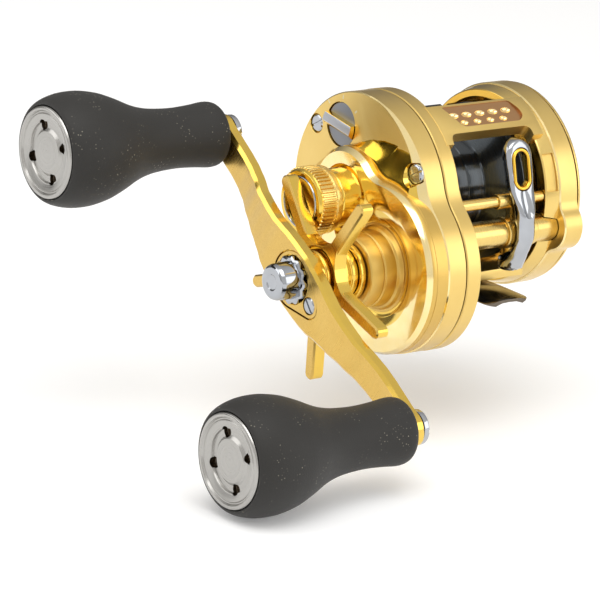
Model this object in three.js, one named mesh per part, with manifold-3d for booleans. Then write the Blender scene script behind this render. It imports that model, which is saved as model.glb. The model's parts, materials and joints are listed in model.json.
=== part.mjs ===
// Level-wind casting reel with a double handle, in millimetres, +Z up.
// +X points out of the handle side, +Y points forward, the way the line leaves.
// The origin is the middle of the foot's underside, where the foot rests on a rod seat.

import * as THREE from 'three';
import { mergeVertices } from 'three/addons/utils/BufferGeometryUtils.js';
import Module from 'manifold-3d';

const wasm = await Module();
wasm.setup();

// Driving dimensions
const SPOOL_HEIGHT = 24.8;
const DRIVE_Y = 14.6;
const DRIVE_Z = -15.95;
const CENTRE_DISTANCE = Math.hypot(DRIVE_Y, DRIVE_Z);
const WORM_Y = 24.9;
const WORM_Z = -7.7;
const ROD_Y = 25.0;
const ROD_Z = 1.1;

const PLATE_RADIUS = 27.7;
const GEARBOX_RADIUS = 23.75;
const WALL_INNER_X = 15.6;
const WALL_OUTER_X = 20.2;
const COVER_START_X = 20.5;
const COVER_FACE_X = 28.1;
const BOSS_FACE_X = 33.0;
const BOSS_RADIUS = 23.45;
const BOSS_CLEARANCE_RADIUS = 22.0;
const SHELL = 1.8;

const PALM_INNER_X = -15.0;
const PALM_LOBE_X = -19.0;
const PALM_OUTER_X = -25.4;
const PALM_RING_RADIUS = 27.9;
const PALM_LIP_RADIUS = 26.5;
const PALM_RING_Y = 0.6;
const PALM_RING_Z = -1.6;
const PALM_HOLE_RADIUS = 22.7;
const LOBE_RADIUS = 6.7;
const BAR_OVERLAP = 0.6;
const SEAT_GAP = 0.15;

const SPOOL_RADIUS = 21.5;
const SPOOL_HALF_WIDTH = 13.0;
const SPOOL_SHAFT_RADIUS = 1.25;
const DRIVE_SHAFT_RADIUS = 3.0;
const WORM_RADIUS = 2.5;
const TUBE_RADIUS = 3.75;
const TUBE_BORE = 2.9;
const ROD_RADIUS = 1.5;

const DRIVE_TEETH = 64;
const PINION_TEETH = 8;
const CRANK_TEETH = 24;
const WORM_TEETH = 20;
const PINION_JOURNAL = 2.2;
const GEAR_MODULE = (2 * CENTRE_DISTANCE) / (DRIVE_TEETH + PINION_TEETH);
const WORM_MODULE = (2 * Math.hypot(WORM_Y - DRIVE_Y, WORM_Z - DRIVE_Z)) / (CRANK_TEETH + WORM_TEETH);

const ARM_LENGTH = 51.8;
const ARM_ANGLE = THREE.MathUtils.degToRad(-34.1);
const ARM_HUB_FRONT = 60.0;
const ARM_THICKNESS = 3.5;
const BRAKE_SHOES = 2;
const FOOT_HALF_LENGTH = 32.6;
const FOOT_HALF_WIDTH = 7.6;
const FOOT_SCREW_PLACES = [-16, 16];
const KNOB_PIN_RADIUS = 1.9;
const KNOB_BORE = 4.2;
const CAP_FACE_X = 109.9;

const RETAINER_SCREW = 9.2;
const HALF_WIDTHS = [
  [0, 9.0], [5, 8.7], [12, 7.6], [16, 6.5], [20, 5.8], [26, 5.0], [33, 4.7], [42, 4.6], [ARM_LENGTH, 4.9],
];
const ARM_DROP = [[0, 0], [11, 0], [16, 0.6], [20, 1.1], [26, 2.4], [32, 4.0], [39, 4.9], [58, 5.0]];

const CAST_RADIUS = 9.4;
const CAST_START_X = 39.6;
const CAST_FACE_X = 48.1;
const CAST_RIBS = 30;

const COVER_SCREW_SHANK = 1.2;
const COVER_SCREW_HOLE = 1.45;
const SCREW_PLACES = [
  { name: 'side_plate_screw_rear', y: -19.4, z: 15.4, head: 2.4 },
  { name: 'side_plate_screw_front', y: 23.1, z: 11.0, head: 2.7 },
  { name: 'side_plate_screw_lower', y: -19.6, z: -14.2, head: 2.4 },
];
const FOOT_SCREW_HOLE = 1.25;
const DIAL_Y = -8.9;
const DIAL_Z = 17.3;
const DIAL_BAR_ANGLE = -10;
const LOCK_Y = -10.6;
const LOCK_Z = -12.8;

const DIMPLES = 9;
const DIMPLE_SPACING = 2.31;
const DIMPLE_ANGLE = 52.0;
const DIMPLE_REACH = 27.9;

const THUMB_ANGLE = 145.5;
const THUMB_TAB_ANGLE = 152;
const THUMB_TAB_REACH = 23.2;
const THUMB_PUSH_ANGLE = 235;
const THUMB_TRAVEL = 3.5;
const YOKE_POST_PLACES = [-6.2, 6.2];

const GUIDE_X = -5.6;
const EYE_CENTRE = 9.9;
const EYE_HALF_WIDTH = 4.5;
const LOOP_CENTRE = 13.7;
const BARREL_START = -11.6;
const BARREL_END = -1.6;
const BARREL_RADIUS = 4.35;
const PAWL_RADIUS = 1.3;

const STAR_ARMS = 5;
const STAR_FIRST_ANGLE = 53.3;
const STAR_ARM_REACH = 26.9;

const RUNNING_GAP = 0.03;
const FINE = 24;
const ROUND = 14;
const SMALL = 10;

// Finishes
const finishes = {
  gold: { color: 0xc9a24a, roughness: 0.3, metalness: 1.0 },
  chrome: { color: 0xd8dadc, roughness: 0.08, metalness: 1.0 },
  steel: { color: 0xa9abad, roughness: 0.3, metalness: 1.0 },
  gunmetal: { color: 0x2b3032, roughness: 0.15, metalness: 0.9 },
  foot_steel: { color: 0x6b6560, roughness: 0.2, metalness: 1.0 },
  foam: { color: 0x34322f, roughness: 0.9, metalness: 0.0 },
  cap_steel: { color: 0xc8c6c3, roughness: 0.35, metalness: 1.0 },
  brass: { color: 0xb08d3c, roughness: 0.3, metalness: 1.0 },
  plastic: { color: 0x1c1c1d, roughness: 0.5, metalness: 0.0 },
  carbon: { color: 0x242424, roughness: 0.7, metalness: 0.0 },
};

// Geometry helpers

function signedVolume(position, index) {
  const a = new THREE.Vector3();
  const b = new THREE.Vector3();
  const c = new THREE.Vector3();
  let volume = 0;
  for (let i = 0; i < index.length; i += 3) {
    a.fromArray(position, 3 * index[i]);
    b.fromArray(position, 3 * index[i + 1]);
    c.fromArray(position, 3 * index[i + 2]);
    volume += a.dot(b.cross(c)) / 6;
  }
  return volume;
}

// Turns a closed three.js geometry into a solid that can be joined and cut.
function toSolid(geometry) {
  geometry.deleteAttribute('normal');
  geometry.deleteAttribute('uv');
  const merged = mergeVertices(geometry, 1e-4);
  const position = merged.attributes.position.array;
  const index = [];
  for (let i = 0; i < merged.index.count; i += 3) {
    const [a, b, c] = [0, 1, 2].map((k) => merged.index.getX(i + k));
    if (a !== b && b !== c && c !== a) index.push(a, b, c);
  }
  const triangles = signedVolume(position, index) < 0 ? index.reverse() : index;
  const mesh = new wasm.Mesh({
    numProp: 3,
    vertProperties: new Float32Array(position),
    triVerts: new Uint32Array(triangles),
  });
  return new wasm.Manifold(mesh);
}

function toGeometry(solid) {
  const { vertProperties, triVerts } = solid.getMesh();
  const geometry = new THREE.BufferGeometry();
  geometry.setAttribute('position', new THREE.BufferAttribute(vertProperties, 3));
  geometry.setIndex(new THREE.BufferAttribute(triVerts, 1));
  geometry.computeVertexNormals();
  return geometry;
}

// A body of revolution about the X axis from [x, radius] points; the outline closes on itself.
function turned(profile, segments = ROUND) {
  const points = profile.map(([x, radius]) => new THREE.Vector2(radius, x));
  points.push(points[0].clone());
  const geometry = new THREE.LatheGeometry(points, segments);
  geometry.rotateZ(-Math.PI / 2);
  return toSolid(geometry);
}

function rod(radius, x0, x1, segments = ROUND) {
  return turned([[x0, 0], [x0, radius], [x1, radius], [x1, 0]], segments);
}

function ring(outer, inner, x0, x1, segments = ROUND) {
  return turned([[x0, inner], [x0, outer], [x1, outer], [x1, inner]], segments);
}

// A flat outline drawn in the Y-Z plane and pushed along X.
function prism(shape, x0, x1, curveSegments = 12) {
  const options = { depth: x1 - x0, bevelEnabled: false, curveSegments };
  const geometry = new THREE.ExtrudeGeometry(shape, options);
  const toYZ = new THREE.Matrix4().makeBasis(
    new THREE.Vector3(0, 1, 0),
    new THREE.Vector3(0, 0, 1),
    new THREE.Vector3(1, 0, 0),
  );
  geometry.applyMatrix4(toYZ);
  geometry.translate(x0, 0, 0);
  return toSolid(geometry);
}

// A flat outline drawn in the X-Z plane and pushed along Y.
function prismAlongY(shape, y0, y1, curveSegments = 12) {
  const options = { depth: y1 - y0, bevelEnabled: false, curveSegments };
  const geometry = new THREE.ExtrudeGeometry(shape, options);
  const toXZ = new THREE.Matrix4().makeBasis(
    new THREE.Vector3(1, 0, 0),
    new THREE.Vector3(0, 0, 1),
    new THREE.Vector3(0, -1, 0),
  );
  geometry.applyMatrix4(toXZ);
  geometry.translate(0, y1, 0);
  return toSolid(geometry);
}

// Stands a body made along X upright, so that its x values become heights.
function upright(solid, x, y) {
  return solid.rotate([0, -90, 0]).translate([x, y, 0]);
}

function outline(points) {
  return new THREE.Shape(points.map(([y, z]) => new THREE.Vector2(y, z)));
}

// A rounded slot outline between two centres.
function slotOutline(y0, z0, y1, z1, radius) {
  const angle = Math.atan2(z1 - z0, y1 - y0);
  const shape = new THREE.Shape();
  shape.absarc(y0, z0, radius, angle + Math.PI / 2, angle + 1.5 * Math.PI, false);
  shape.absarc(y1, z1, radius, angle - Math.PI / 2, angle + Math.PI / 2, false);
  return shape;
}

function box(x0, x1, y0, y1, z0, z1) {
  const geometry = new THREE.BoxGeometry(x1 - x0, y1 - y0, z1 - z0);
  geometry.translate((x0 + x1) / 2, (y0 + y1) / 2, (z0 + z1) / 2);
  return toSolid(geometry);
}

function move(solid, y, z) {
  return solid.translate([0, y, z]);
}

function onDrive(solid) {
  return move(solid, DRIVE_Y, DRIVE_Z);
}

function onWorm(solid) {
  return move(solid, WORM_Y, WORM_Z);
}

function onRod(solid) {
  return move(solid, ROD_Y, ROD_Z);
}

function joined(...solids) {
  return solids.reduce((sum, solid) => sum.add(solid));
}

function cut(solid, ...tools) {
  return tools.reduce((rest, tool) => rest.subtract(tool), solid);
}

// Radius of a faceted hole that a faceted shaft of the given radius can turn in.
function runningHole(radius, segments) {
  return (radius + RUNNING_GAP) / Math.cos(Math.PI / segments);
}

function polar(radius, degrees) {
  const angle = THREE.MathUtils.degToRad(degrees);
  return [radius * Math.cos(angle), radius * Math.sin(angle)];
}

// A gear outline with short tapered teeth; the first tooth or gap faces the given angle.
function gearOutline(teeth, module, toothShare, facing, startsWithGap) {
  const pitch = (teeth * module) / 2;
  const outer = pitch + 0.42 * module;
  const root = pitch - 0.75 * module;
  const step = (2 * Math.PI) / teeth;
  const offset = facing + (startsWithGap ? step / 2 : 0);
  const half = (toothShare * step) / 2;
  const shape = new THREE.Shape();
  for (let i = 0; i < teeth; i += 1) {
    const middle = offset + i * step;
    const corners = [[root, -1.35], [outer, -0.55], [outer, 0.55], [root, 1.35]];
    corners.forEach(([radius, side], k) => {
      const angle = middle + side * half;
      const point = [radius * Math.cos(angle), radius * Math.sin(angle)];
      if (i === 0 && k === 0) shape.moveTo(...point);
      else shape.lineTo(...point);
    });
  }
  shape.closePath();
  return shape;
}

// A pan-head screw along X whose head faces +X (facing = 1) or -X (facing = -1).
function slottedScrew(headRadius, headHeight, shankRadius, shankLength, facing) {
  const head = rod(headRadius, 0, headHeight, SMALL);
  const shank = rod(shankRadius, -shankLength, 0.1, 12);
  const slot = box(headHeight - 0.5, headHeight + 1, -headRadius - 1, headRadius + 1, -0.3, 0.3);
  const screw = cut(joined(head, shank), slot.rotate([30, 0, 0]));
  return facing > 0 ? screw : screw.rotate([0, 0, 180]);
}

// The model

const reel = new THREE.Group();
reel.position.z = SPOOL_HEIGHT;

function addPiece(name, finish, solid, parent = reel) {
  const mesh = new THREE.Mesh(toGeometry(solid), new THREE.MeshStandardMaterial(finishes[finish]));
  mesh.name = name;
  parent.add(mesh);
}

// Outline shared by the handle-side wall and its cover: spool disc and gear disc together.
function sideDiscs(spoolRadius, gearRadius, x0, x1) {
  return joined(rod(spoolRadius, x0, x1, FINE), onDrive(rod(gearRadius, x0, x1, FINE)));
}

function makePalmRing() {
  const disc = move(rod(PALM_RING_RADIUS, PALM_OUTER_X, PALM_LOBE_X, FINE), PALM_RING_Y, PALM_RING_Z);
  const lip = turned([
    [PALM_LOBE_X, 0], [PALM_LOBE_X, PALM_RING_RADIUS - 0.7],
    [PALM_INNER_X, PALM_LIP_RADIUS], [PALM_INNER_X, 0],
  ], FINE);
  const lobe = onWorm(rod(LOBE_RADIUS, PALM_OUTER_X, PALM_LOBE_X, ROUND));
  const hole = rod(PALM_HOLE_RADIUS, PALM_OUTER_X - 1, PALM_INNER_X + 1, FINE);
  return cut(joined(disc, move(lip, PALM_RING_Y, PALM_RING_Z), lobe), hole);
}

function makeBars() {
  const start = PALM_INNER_X - BAR_OVERLAP;
  const stop = WALL_INNER_X + BAR_OVERLAP;
  const top = prism(outline([[19.9, 19.7], [14.4, 24.0], [13.4, 22.7], [18.9, 18.4]]), start, stop);
  const rear = prism(outline([
    polar(23.0, 168), polar(26.6, 168), polar(27.2, 182),
    polar(26.6, 196), polar(23.0, 196), polar(22.6, 182),
  ]), start, stop);
  const deck = prism(outline([
    [19.0, -19.9], [19.0, -22.6], [14.0, -23.1], [-14.0, -23.1], [-19.0, -21.6], [-19.0, -18.0],
    [-14.6, -17.4], [-9.2, -20.8], [-4.6, -22.3], [0, -22.7], [4.6, -22.3], [9.2, -20.8], [13.2, -19.9],
  ]), start, stop);
  return joined(top, rear, deck);
}

// Two staggered rows of oval hollows on the top bar's sloping face.
function makeDimples() {
  const normal = THREE.MathUtils.degToRad(DIMPLE_ANGLE);
  const dimples = [];
  for (let i = 0; i < DIMPLES; i += 1) {
    const upper = i % 2 === 0;
    const pocket = rod(upper ? 1.5 : 1.2, -0.7, 2, 10).rotate([0, -90, 0]).scale([1, 0.55, 1]);
    const along = upper ? 1.0 : -1.4;
    const y = DIMPLE_REACH * Math.cos(normal) - along * Math.sin(normal);
    const z = DIMPLE_REACH * Math.sin(normal) + along * Math.cos(normal);
    dimples.push(pocket.rotate([DIMPLE_ANGLE - 90, 0, 0]).translate([9.0 - DIMPLE_SPACING * i, y, z]));
  }
  return dimples;
}

function makeFrame() {
  const wall = sideDiscs(PLATE_RADIUS, GEARBOX_RADIUS, WALL_INNER_X, WALL_OUTER_X);
  const through = [WALL_INNER_X - 1, WALL_OUTER_X + 1];
  const screwHole = rod(COVER_SCREW_HOLE, WALL_INNER_X + 0.8, WALL_OUTER_X + 1, 12);
  const tubeSeatRadius = TUBE_RADIUS + SEAT_GAP;
  const rodSeatRadius = ROD_RADIUS + SEAT_GAP;
  const [tabY, tabZ] = polar(THUMB_TAB_REACH, THUMB_TAB_ANGLE);
  const [pushY, pushZ] = polar(THUMB_TRAVEL, THUMB_PUSH_ANGLE);
  const holes = [
    rod(5.05, ...through, ROUND),
    onDrive(rod(6.05, ...through, ROUND)),
    onWorm(rod(tubeSeatRadius, ...through, SMALL)),
    onRod(rod(rodSeatRadius, WALL_INNER_X - 1, WALL_OUTER_X - 1.5, SMALL)),
    onWorm(rod(tubeSeatRadius, PALM_LOBE_X - 3, PALM_INNER_X + 1, SMALL)),
    onRod(rod(rodSeatRadius, PALM_LOBE_X - 2.5, PALM_INNER_X + 1, SMALL)),
    prism(slotOutline(tabY, tabZ, tabY + pushY, tabZ + pushZ, 1.5), ...through, 6),
    ...SCREW_PLACES.map(({ y, z }) => move(screwHole, y, z)),
    ...FOOT_SCREW_PLACES.map((y) => upright(rod(FOOT_SCREW_HOLE, -25, -21, 12), 0, y)),
  ];
  return cut(joined(wall, makePalmRing(), makeBars()), ...holes, ...makeDimples());
}

// The raised gear housing, the hub about the spool axis and the bridge that joins them.
function makeBoss() {
  const start = COVER_FACE_X - 0.5;
  const bridge = outline([
    [-6.0, 11.3], [-15.5, 3.9], [-17.5, -2.0], [-15.0, -12.0], [-6.0, -21.0], [8.0, -21.0], [5.0, 0],
  ]);
  const gearArea = onDrive(rod(BOSS_CLEARANCE_RADIUS, BOSS_FACE_X - 3, BOSS_FACE_X + 1, FINE));
  const housing = onDrive(turned([
    [start, 0], [start, BOSS_RADIUS], [31.5, BOSS_RADIUS],
    [BOSS_FACE_X, 22.6], [BOSS_FACE_X, 16.1], [31.2, 12.6], [31.4, 11.0], [32.6, 10.6], [BOSS_FACE_X, 10.2],
    [38.5, 9.6], [41.0, 9.2], [41.0, 0],
  ], FINE));
  return joined(
    housing,
    cut(rod(13.0, start, BOSS_FACE_X, FINE), gearArea),
    cut(prism(bridge, start, BOSS_FACE_X), gearArea),
    rod(8.0, BOSS_FACE_X - 1, 39.3, ROUND),
    rod(6.6, 39.0, 43.6, ROUND),
  );
}

function makeSidePlate() {
  const base = sideDiscs(PLATE_RADIUS, GEARBOX_RADIUS, COVER_START_X, COVER_FACE_X);
  const hollows = [
    sideDiscs(PLATE_RADIUS - SHELL, GEARBOX_RADIUS - SHELL, COVER_START_X - 1, 26.4),
    onDrive(rod(BOSS_RADIUS - 3.1, 26.0, 29.6, FINE)),
    rod(10.5, 26.0, 30.6, ROUND),
    onDrive(rod(8.2, 29.0, 40.0, ROUND)),
    onDrive(rod(5.5, 39.0, 42.0, ROUND)),
    rod(4.05, 30.0, 42.4, ROUND),
  ];
  const insideOnly = sideDiscs(PLATE_RADIUS - 0.4, GEARBOX_RADIUS - 0.4, COVER_START_X, 27.0);
  const screwPosts = SCREW_PLACES.map(({ y, z }) => move(rod(3.0, COVER_START_X, 27.0, SMALL), y, z));
  const yokePosts = YOKE_POST_PLACES.map((y) => move(rod(0.8, 27.4, 30.8, SMALL), y, 0));
  const holes = [
    rod(2.0, 42.0, 44.0, SMALL),
    move(rod(6.2, 26.9, COVER_FACE_X + 1, ROUND), DIAL_Y, DIAL_Z),
    move(rod(1.6, 25.0, 27.5, SMALL), DIAL_Y, DIAL_Z),
    ...SCREW_PLACES.map(({ y, z, head }) => joined(
      move(rod(head + 0.25, COVER_FACE_X - 1.3, COVER_FACE_X + 1, SMALL), y, z),
      move(rod(COVER_SCREW_HOLE, COVER_START_X - 1, COVER_FACE_X, 12), y, z),
    )),
  ];
  const posts = screwPosts.map((post) => post.intersect(insideOnly));
  return cut(joined(cut(joined(base, makeBoss()), ...hollows), ...yokePosts, ...posts), ...holes);
}

function makePalmCover() {
  const rimRadius = PALM_RING_RADIUS - 0.3;
  const rim = turned([
    [-27.6, 24.0], [-27.6, 26.4], [-26.6, rimRadius], [-25.7, rimRadius], [-25.7, 24.0],
  ], FINE);
  const shell = turned([
    [-31.2, 0], [-31.0, 13.0], [-30.2, 20.0], [-28.6, 24.6], [-27.6, 25.4], [-25.7, 25.4],
    [-25.7, 21.8], [-23.4, 21.8], [-23.4, 20.6], [-27.3, 20.6], [-28.6, 15.0], [-28.8, 12.6], [-21.9, 12.6],
    [-21.9, 11.2], [-29.2, 11.2], [-29.2, 7.0], [-22.6, 7.0], [-22.6, 5.2], [-25.9, 5.2], [-25.9, 2.0],
    [-27.5, 2.0], [-27.5, 0],
  ], FINE);
  const lockPost = rod(3.4, -29.4, -24.4, SMALL);
  const lockHole = joined(rod(1.7, -33, -20, SMALL), rod(2.95, -33, -29.0, SMALL));
  const post = move(lockPost, LOCK_Y, LOCK_Z);
  return cut(joined(shell, move(rim, PALM_RING_Y, PALM_RING_Z), post), move(lockHole, LOCK_Y, LOCK_Z));
}

// Cross-section arched across the rod seat, cut to a tapering side view.
function makeFoot() {
  const section = new THREE.Shape([
    [-6.3, -25.6], [-3.2, -24.8], [3.2, -24.8], [6.3, -25.6], [FOOT_HALF_WIDTH, -24.6], [4.6, -23.2],
    [-4.6, -23.2], [-FOOT_HALF_WIDTH, -24.6],
  ].map(([x, z]) => new THREE.Vector2(x, z)));
  const bar = prismAlongY(section, -FOOT_HALF_LENGTH, FOOT_HALF_LENGTH);
  const sideView = prism(outline([
    [-FOOT_HALF_LENGTH, -26], [FOOT_HALF_LENGTH, -26], [FOOT_HALF_LENGTH, -24.0], [20.0, -23.2],
    [-20.0, -23.2], [-FOOT_HALF_LENGTH, -24.0],
  ]), -8, 8);
  const holes = FOOT_SCREW_PLACES.map((y) => upright(rod(1.25, -28, -20, 12), 0, y));
  const sinks = FOOT_SCREW_PLACES.map((y) => upright(rod(2.35, -28, -24.0, SMALL), 0, y));
  return cut(bar.intersect(sideView), ...holes, ...sinks);
}

function makeFootScrew(y) {
  const head = rod(2.15, -24.7, -24.05, SMALL);
  const shank = rod(1.1, -24.2, -21.6, 12);
  return upright(joined(head, shank), 0, y);
}

function makeSpool() {
  const rim = SPOOL_RADIUS;
  const half = SPOOL_HALF_WIDTH;
  return turned([
    [-half, 3.6], [-half, rim], [-half + 1.1, rim], [-half + 1.6, rim - 1.6], [-5.5, 13.0], [5.5, 13.0],
    [half - 1.6, rim - 1.6], [half - 1.1, rim], [half, rim], [half, 3.6], [7.0, 3.6],
    [7.0, SPOOL_SHAFT_RADIUS + SEAT_GAP], [-7.0, SPOOL_SHAFT_RADIUS + SEAT_GAP], [-7.0, 3.6],
  ], FINE);
}

function makeWormShaft() {
  const body = turned([
    [-21.6, 0], [-21.6, 1.4], [-18.0, 1.4], [-18.0, WORM_RADIUS], [14.0, WORM_RADIUS], [14.0, 1.7],
    [22.6, 1.7], [22.6, 0],
  ], SMALL);
  return onWorm(body);
}

function makeWormTube() {
  const tube = ring(TUBE_RADIUS, TUBE_BORE, PALM_LOBE_X - 2.8, WALL_OUTER_X - 0.4, SMALL);
  const slot = box(-15.0, 13.5, -1.1, 1.1, -5, 0);
  return onWorm(cut(tube, slot));
}

// The carriage: a barrel on the worm tube, a sleeve on the guide rod and a web between them.
function makeCarriage() {
  const barrel = onWorm(rod(BARREL_RADIUS, BARREL_START, BARREL_END, ROUND));
  const sleeve = onRod(rod(2.1, BARREL_START, 1.0, SMALL));
  const web = box(BARREL_START + 1, BARREL_END - 1, WORM_Y + 0.4, WORM_Y + 2.4, -5.0, 0.2);
  const pawlSeat = upright(rod(2.3, -14.8, -8.0, SMALL), GUIDE_X, WORM_Y);
  const pawlBore = upright(rod(runningHole(PAWL_RADIUS, SMALL), -16, -8, SMALL), GUIDE_X, WORM_Y);
  const tubeSpace = onWorm(rod(runningHole(TUBE_RADIUS, SMALL), BARREL_START - 1, BARREL_END + 1, SMALL));
  const rodSpace = onRod(rod(runningHole(ROD_RADIUS, SMALL), -14, 2, SMALL));
  return cut(joined(barrel, sleeve, web, pawlSeat), pawlBore, tubeSpace, rodSpace);
}

// An upright slot with round ends, seen along Y.
function uprightSlot(halfWidth, halfHeight, segments = 8) {
  const reach = halfHeight - halfWidth;
  const shape = new THREE.Shape();
  shape.absarc(GUIDE_X, EYE_CENTRE + reach, halfWidth, 0, Math.PI, false);
  shape.absarc(GUIDE_X, EYE_CENTRE - reach, halfWidth, Math.PI, 2 * Math.PI, false);
  return prismAlongY(shape, 18, 36, segments);
}

// Seen from the front the guide is a rounded loop on a narrower stem; seen from the side it leans back
// at the top, bulges around the worm tube and ends in the pawl housing under it.
function makeLineGuide() {
  const halfWidths = [[5.0, 4.1], [-1.0, 3.0], [-13.0, 2.8], [-15.0, 3.4], [-17.3, 3.3]];
  const front = new THREE.Shape();
  front.absarc(GUIDE_X, LOOP_CENTRE, EYE_HALF_WIDTH, 0, Math.PI, false);
  halfWidths.forEach(([z, width]) => front.lineTo(GUIDE_X - width, z));
  [...halfWidths].reverse().forEach(([z, width]) => front.lineTo(GUIDE_X + width, z));
  front.closePath();
  const side = outline([
    [21.6, 19.0], [23.8, 19.0], [25.6, 15.5], [28.2, 5.3], [31.9, -2.0], [31.9, -8.0], [30.6, -13.0],
    [28.8, -17.3], [21.9, -17.3], [21.9, -14.9], [24.6, -12.9], [27.4, -11.8], [29.6, -8.6], [29.4, -5.4],
    [27.9, -3.6], [27.5, 2.4], [24.9, 6.0], [22.4, 15.5],
  ]);
  const body = prismAlongY(front, 18, 36, 8).intersect(prism(side, GUIDE_X - 6, GUIDE_X + 6));
  const barrelSpace = onWorm(rod(BARREL_RADIUS + 0.3, BARREL_START - 1, BARREL_END + 1, ROUND));
  const pawlSpace = upright(rod(2.6, -18, -8, ROUND), GUIDE_X, WORM_Y);
  return cut(body, uprightSlot(3.3, 5.8), barrelSpace, pawlSpace);
}

function makeGuideInsert() {
  const slice = outline([[22.0, 15.8], [25.9, 15.8], [28.9, 4.0], [24.9, 4.0]]);
  const band = prism(slice, GUIDE_X - 6, GUIDE_X + 6);
  return cut(uprightSlot(3.05, 5.55), uprightSlot(2.05, 4.55)).intersect(band);
}

function makePawl() {
  const stem = rod(PAWL_RADIUS, -14.6, -11.6, SMALL);
  const blade = box(-11.8, -10.3, -0.9, 0.9, -0.5, 0.5);
  return upright(joined(stem, blade), GUIDE_X, WORM_Y);
}

function makePawlCap() {
  const cap = turned([
    [-18.0, 0], [-18.0, 2.7], [-17.5, 3.1], [-17.4, 2.45], [-15.6, 2.45], [-15.6, 0],
  ], SMALL);
  return upright(cap, GUIDE_X, WORM_Y);
}

function makeDriveShaft() {
  return onDrive(turned([
    [15.9, 0], [15.9, 2.4], [20.0, 2.4], [20.0, DRIVE_SHAFT_RADIUS], [61.5, DRIVE_SHAFT_RADIUS], [61.5, 0],
  ], SMALL));
}

function makeDriveGear() {
  const shape = gearOutline(DRIVE_TEETH, GEAR_MODULE, 0.38, Math.PI - Math.atan2(-DRIVE_Z, DRIVE_Y), false);
  const disc = prism(shape, 23.2, 26.0);
  return onDrive(cut(disc, rod(DRIVE_SHAFT_RADIUS + 0.15, 20, 30, SMALL)));
}

function makeCrankGear() {
  const towardWorm = Math.atan2(WORM_Z - DRIVE_Z, WORM_Y - DRIVE_Y);
  const disc = prism(gearOutline(CRANK_TEETH, WORM_MODULE, 0.38, towardWorm, false), 20.8, 22.6);
  return onDrive(cut(disc, rod(DRIVE_SHAFT_RADIUS + 0.15, 20, 30, SMALL)));
}

function makeWormGear() {
  const towardDrive = Math.atan2(DRIVE_Z - WORM_Z, DRIVE_Y - WORM_Y);
  const disc = prism(gearOutline(WORM_TEETH, WORM_MODULE, 0.38, towardDrive, true), 20.8, 22.6);
  return onWorm(cut(disc, rod(1.85, 20, 30, SMALL)));
}

function makePinion() {
  const towardDrive = Math.atan2(DRIVE_Z, DRIVE_Y);
  const teeth = prism(gearOutline(PINION_TEETH, GEAR_MODULE, 0.38, towardDrive, true), 21.0, 28.4);
  const journal = rod(PINION_JOURNAL, 16.8, 21.1, SMALL);
  const neck = rod(1.9, 28.0, 30.9, SMALL);
  const collar = rod(2.6, 30.7, 31.3, SMALL);
  return cut(joined(journal, teeth, neck, collar), rod(SPOOL_SHAFT_RADIUS + 0.12, 15, 35, SMALL));
}

function makeYoke() {
  const plate = box(28.7, 29.4, -8.0, 8.0, -3.4, 3.4);
  const slot = box(28.0, 31.0, -2.2, 2.2, -4.0, 0);
  const arc = rod(2.2, 28.0, 31.0, SMALL);
  const holes = YOKE_POST_PLACES.map((y) => move(rod(1.0, 28.0, 31.0, SMALL), y, 0));
  return cut(plate, slot, arc, ...holes);
}

function makeThumbBar() {
  const section = [[22.5, -10.5], [24.5, -10.0], [24.9, 0], [24.6, 9.5], [22.4, 10.5], [22.3, 0]];
  const points = section.map(([radius, turn]) => polar(radius, THUMB_ANGLE + turn));
  const pad = prism(outline(points), PALM_INNER_X + 0.8, WALL_INNER_X - 0.7);
  const [tabY, tabZ] = polar(THUMB_TAB_REACH, THUMB_TAB_ANGLE);
  const tab = move(rod(1.2, WALL_INNER_X - 1.5, 22.6, SMALL), tabY, tabZ);
  return joined(pad, tab);
}

// Star drag wheel: five narrow arms on a round hub, joined by scallops.
function makeStar() {
  const arms = [];
  const scallops = [];
  for (let i = 0; i < STAR_ARMS; i += 1) {
    const angle = STAR_FIRST_ANGLE - (360 * i) / STAR_ARMS;
    const arm = prism(slotOutline(9.4, 0, STAR_ARM_REACH, 0, 1.5), 48.4, 52.2, 5);
    const [y, z] = polar(18.2, angle + 180 / STAR_ARMS);
    arms.push(arm.rotate([angle, 0, 0]));
    scallops.push(move(rod(9.6, 48.0, 53.0, ROUND), y, z));
  }
  const web = cut(ring(14.2, 8.0, 48.4, 52.2, FINE), ...scallops);
  const hub = turned([
    [43.2, 0], [43.2, 6.7], [47.0, 6.7], [47.0, 8.3], [51.0, 8.3], [51.3, 6.8], [51.3, 0],
  ], ROUND);
  const bore = rod(runningHole(DRIVE_SHAFT_RADIUS, SMALL), 40, 55, SMALL);
  return onDrive(cut(joined(web, hub, ...arms), bore));
}

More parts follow.
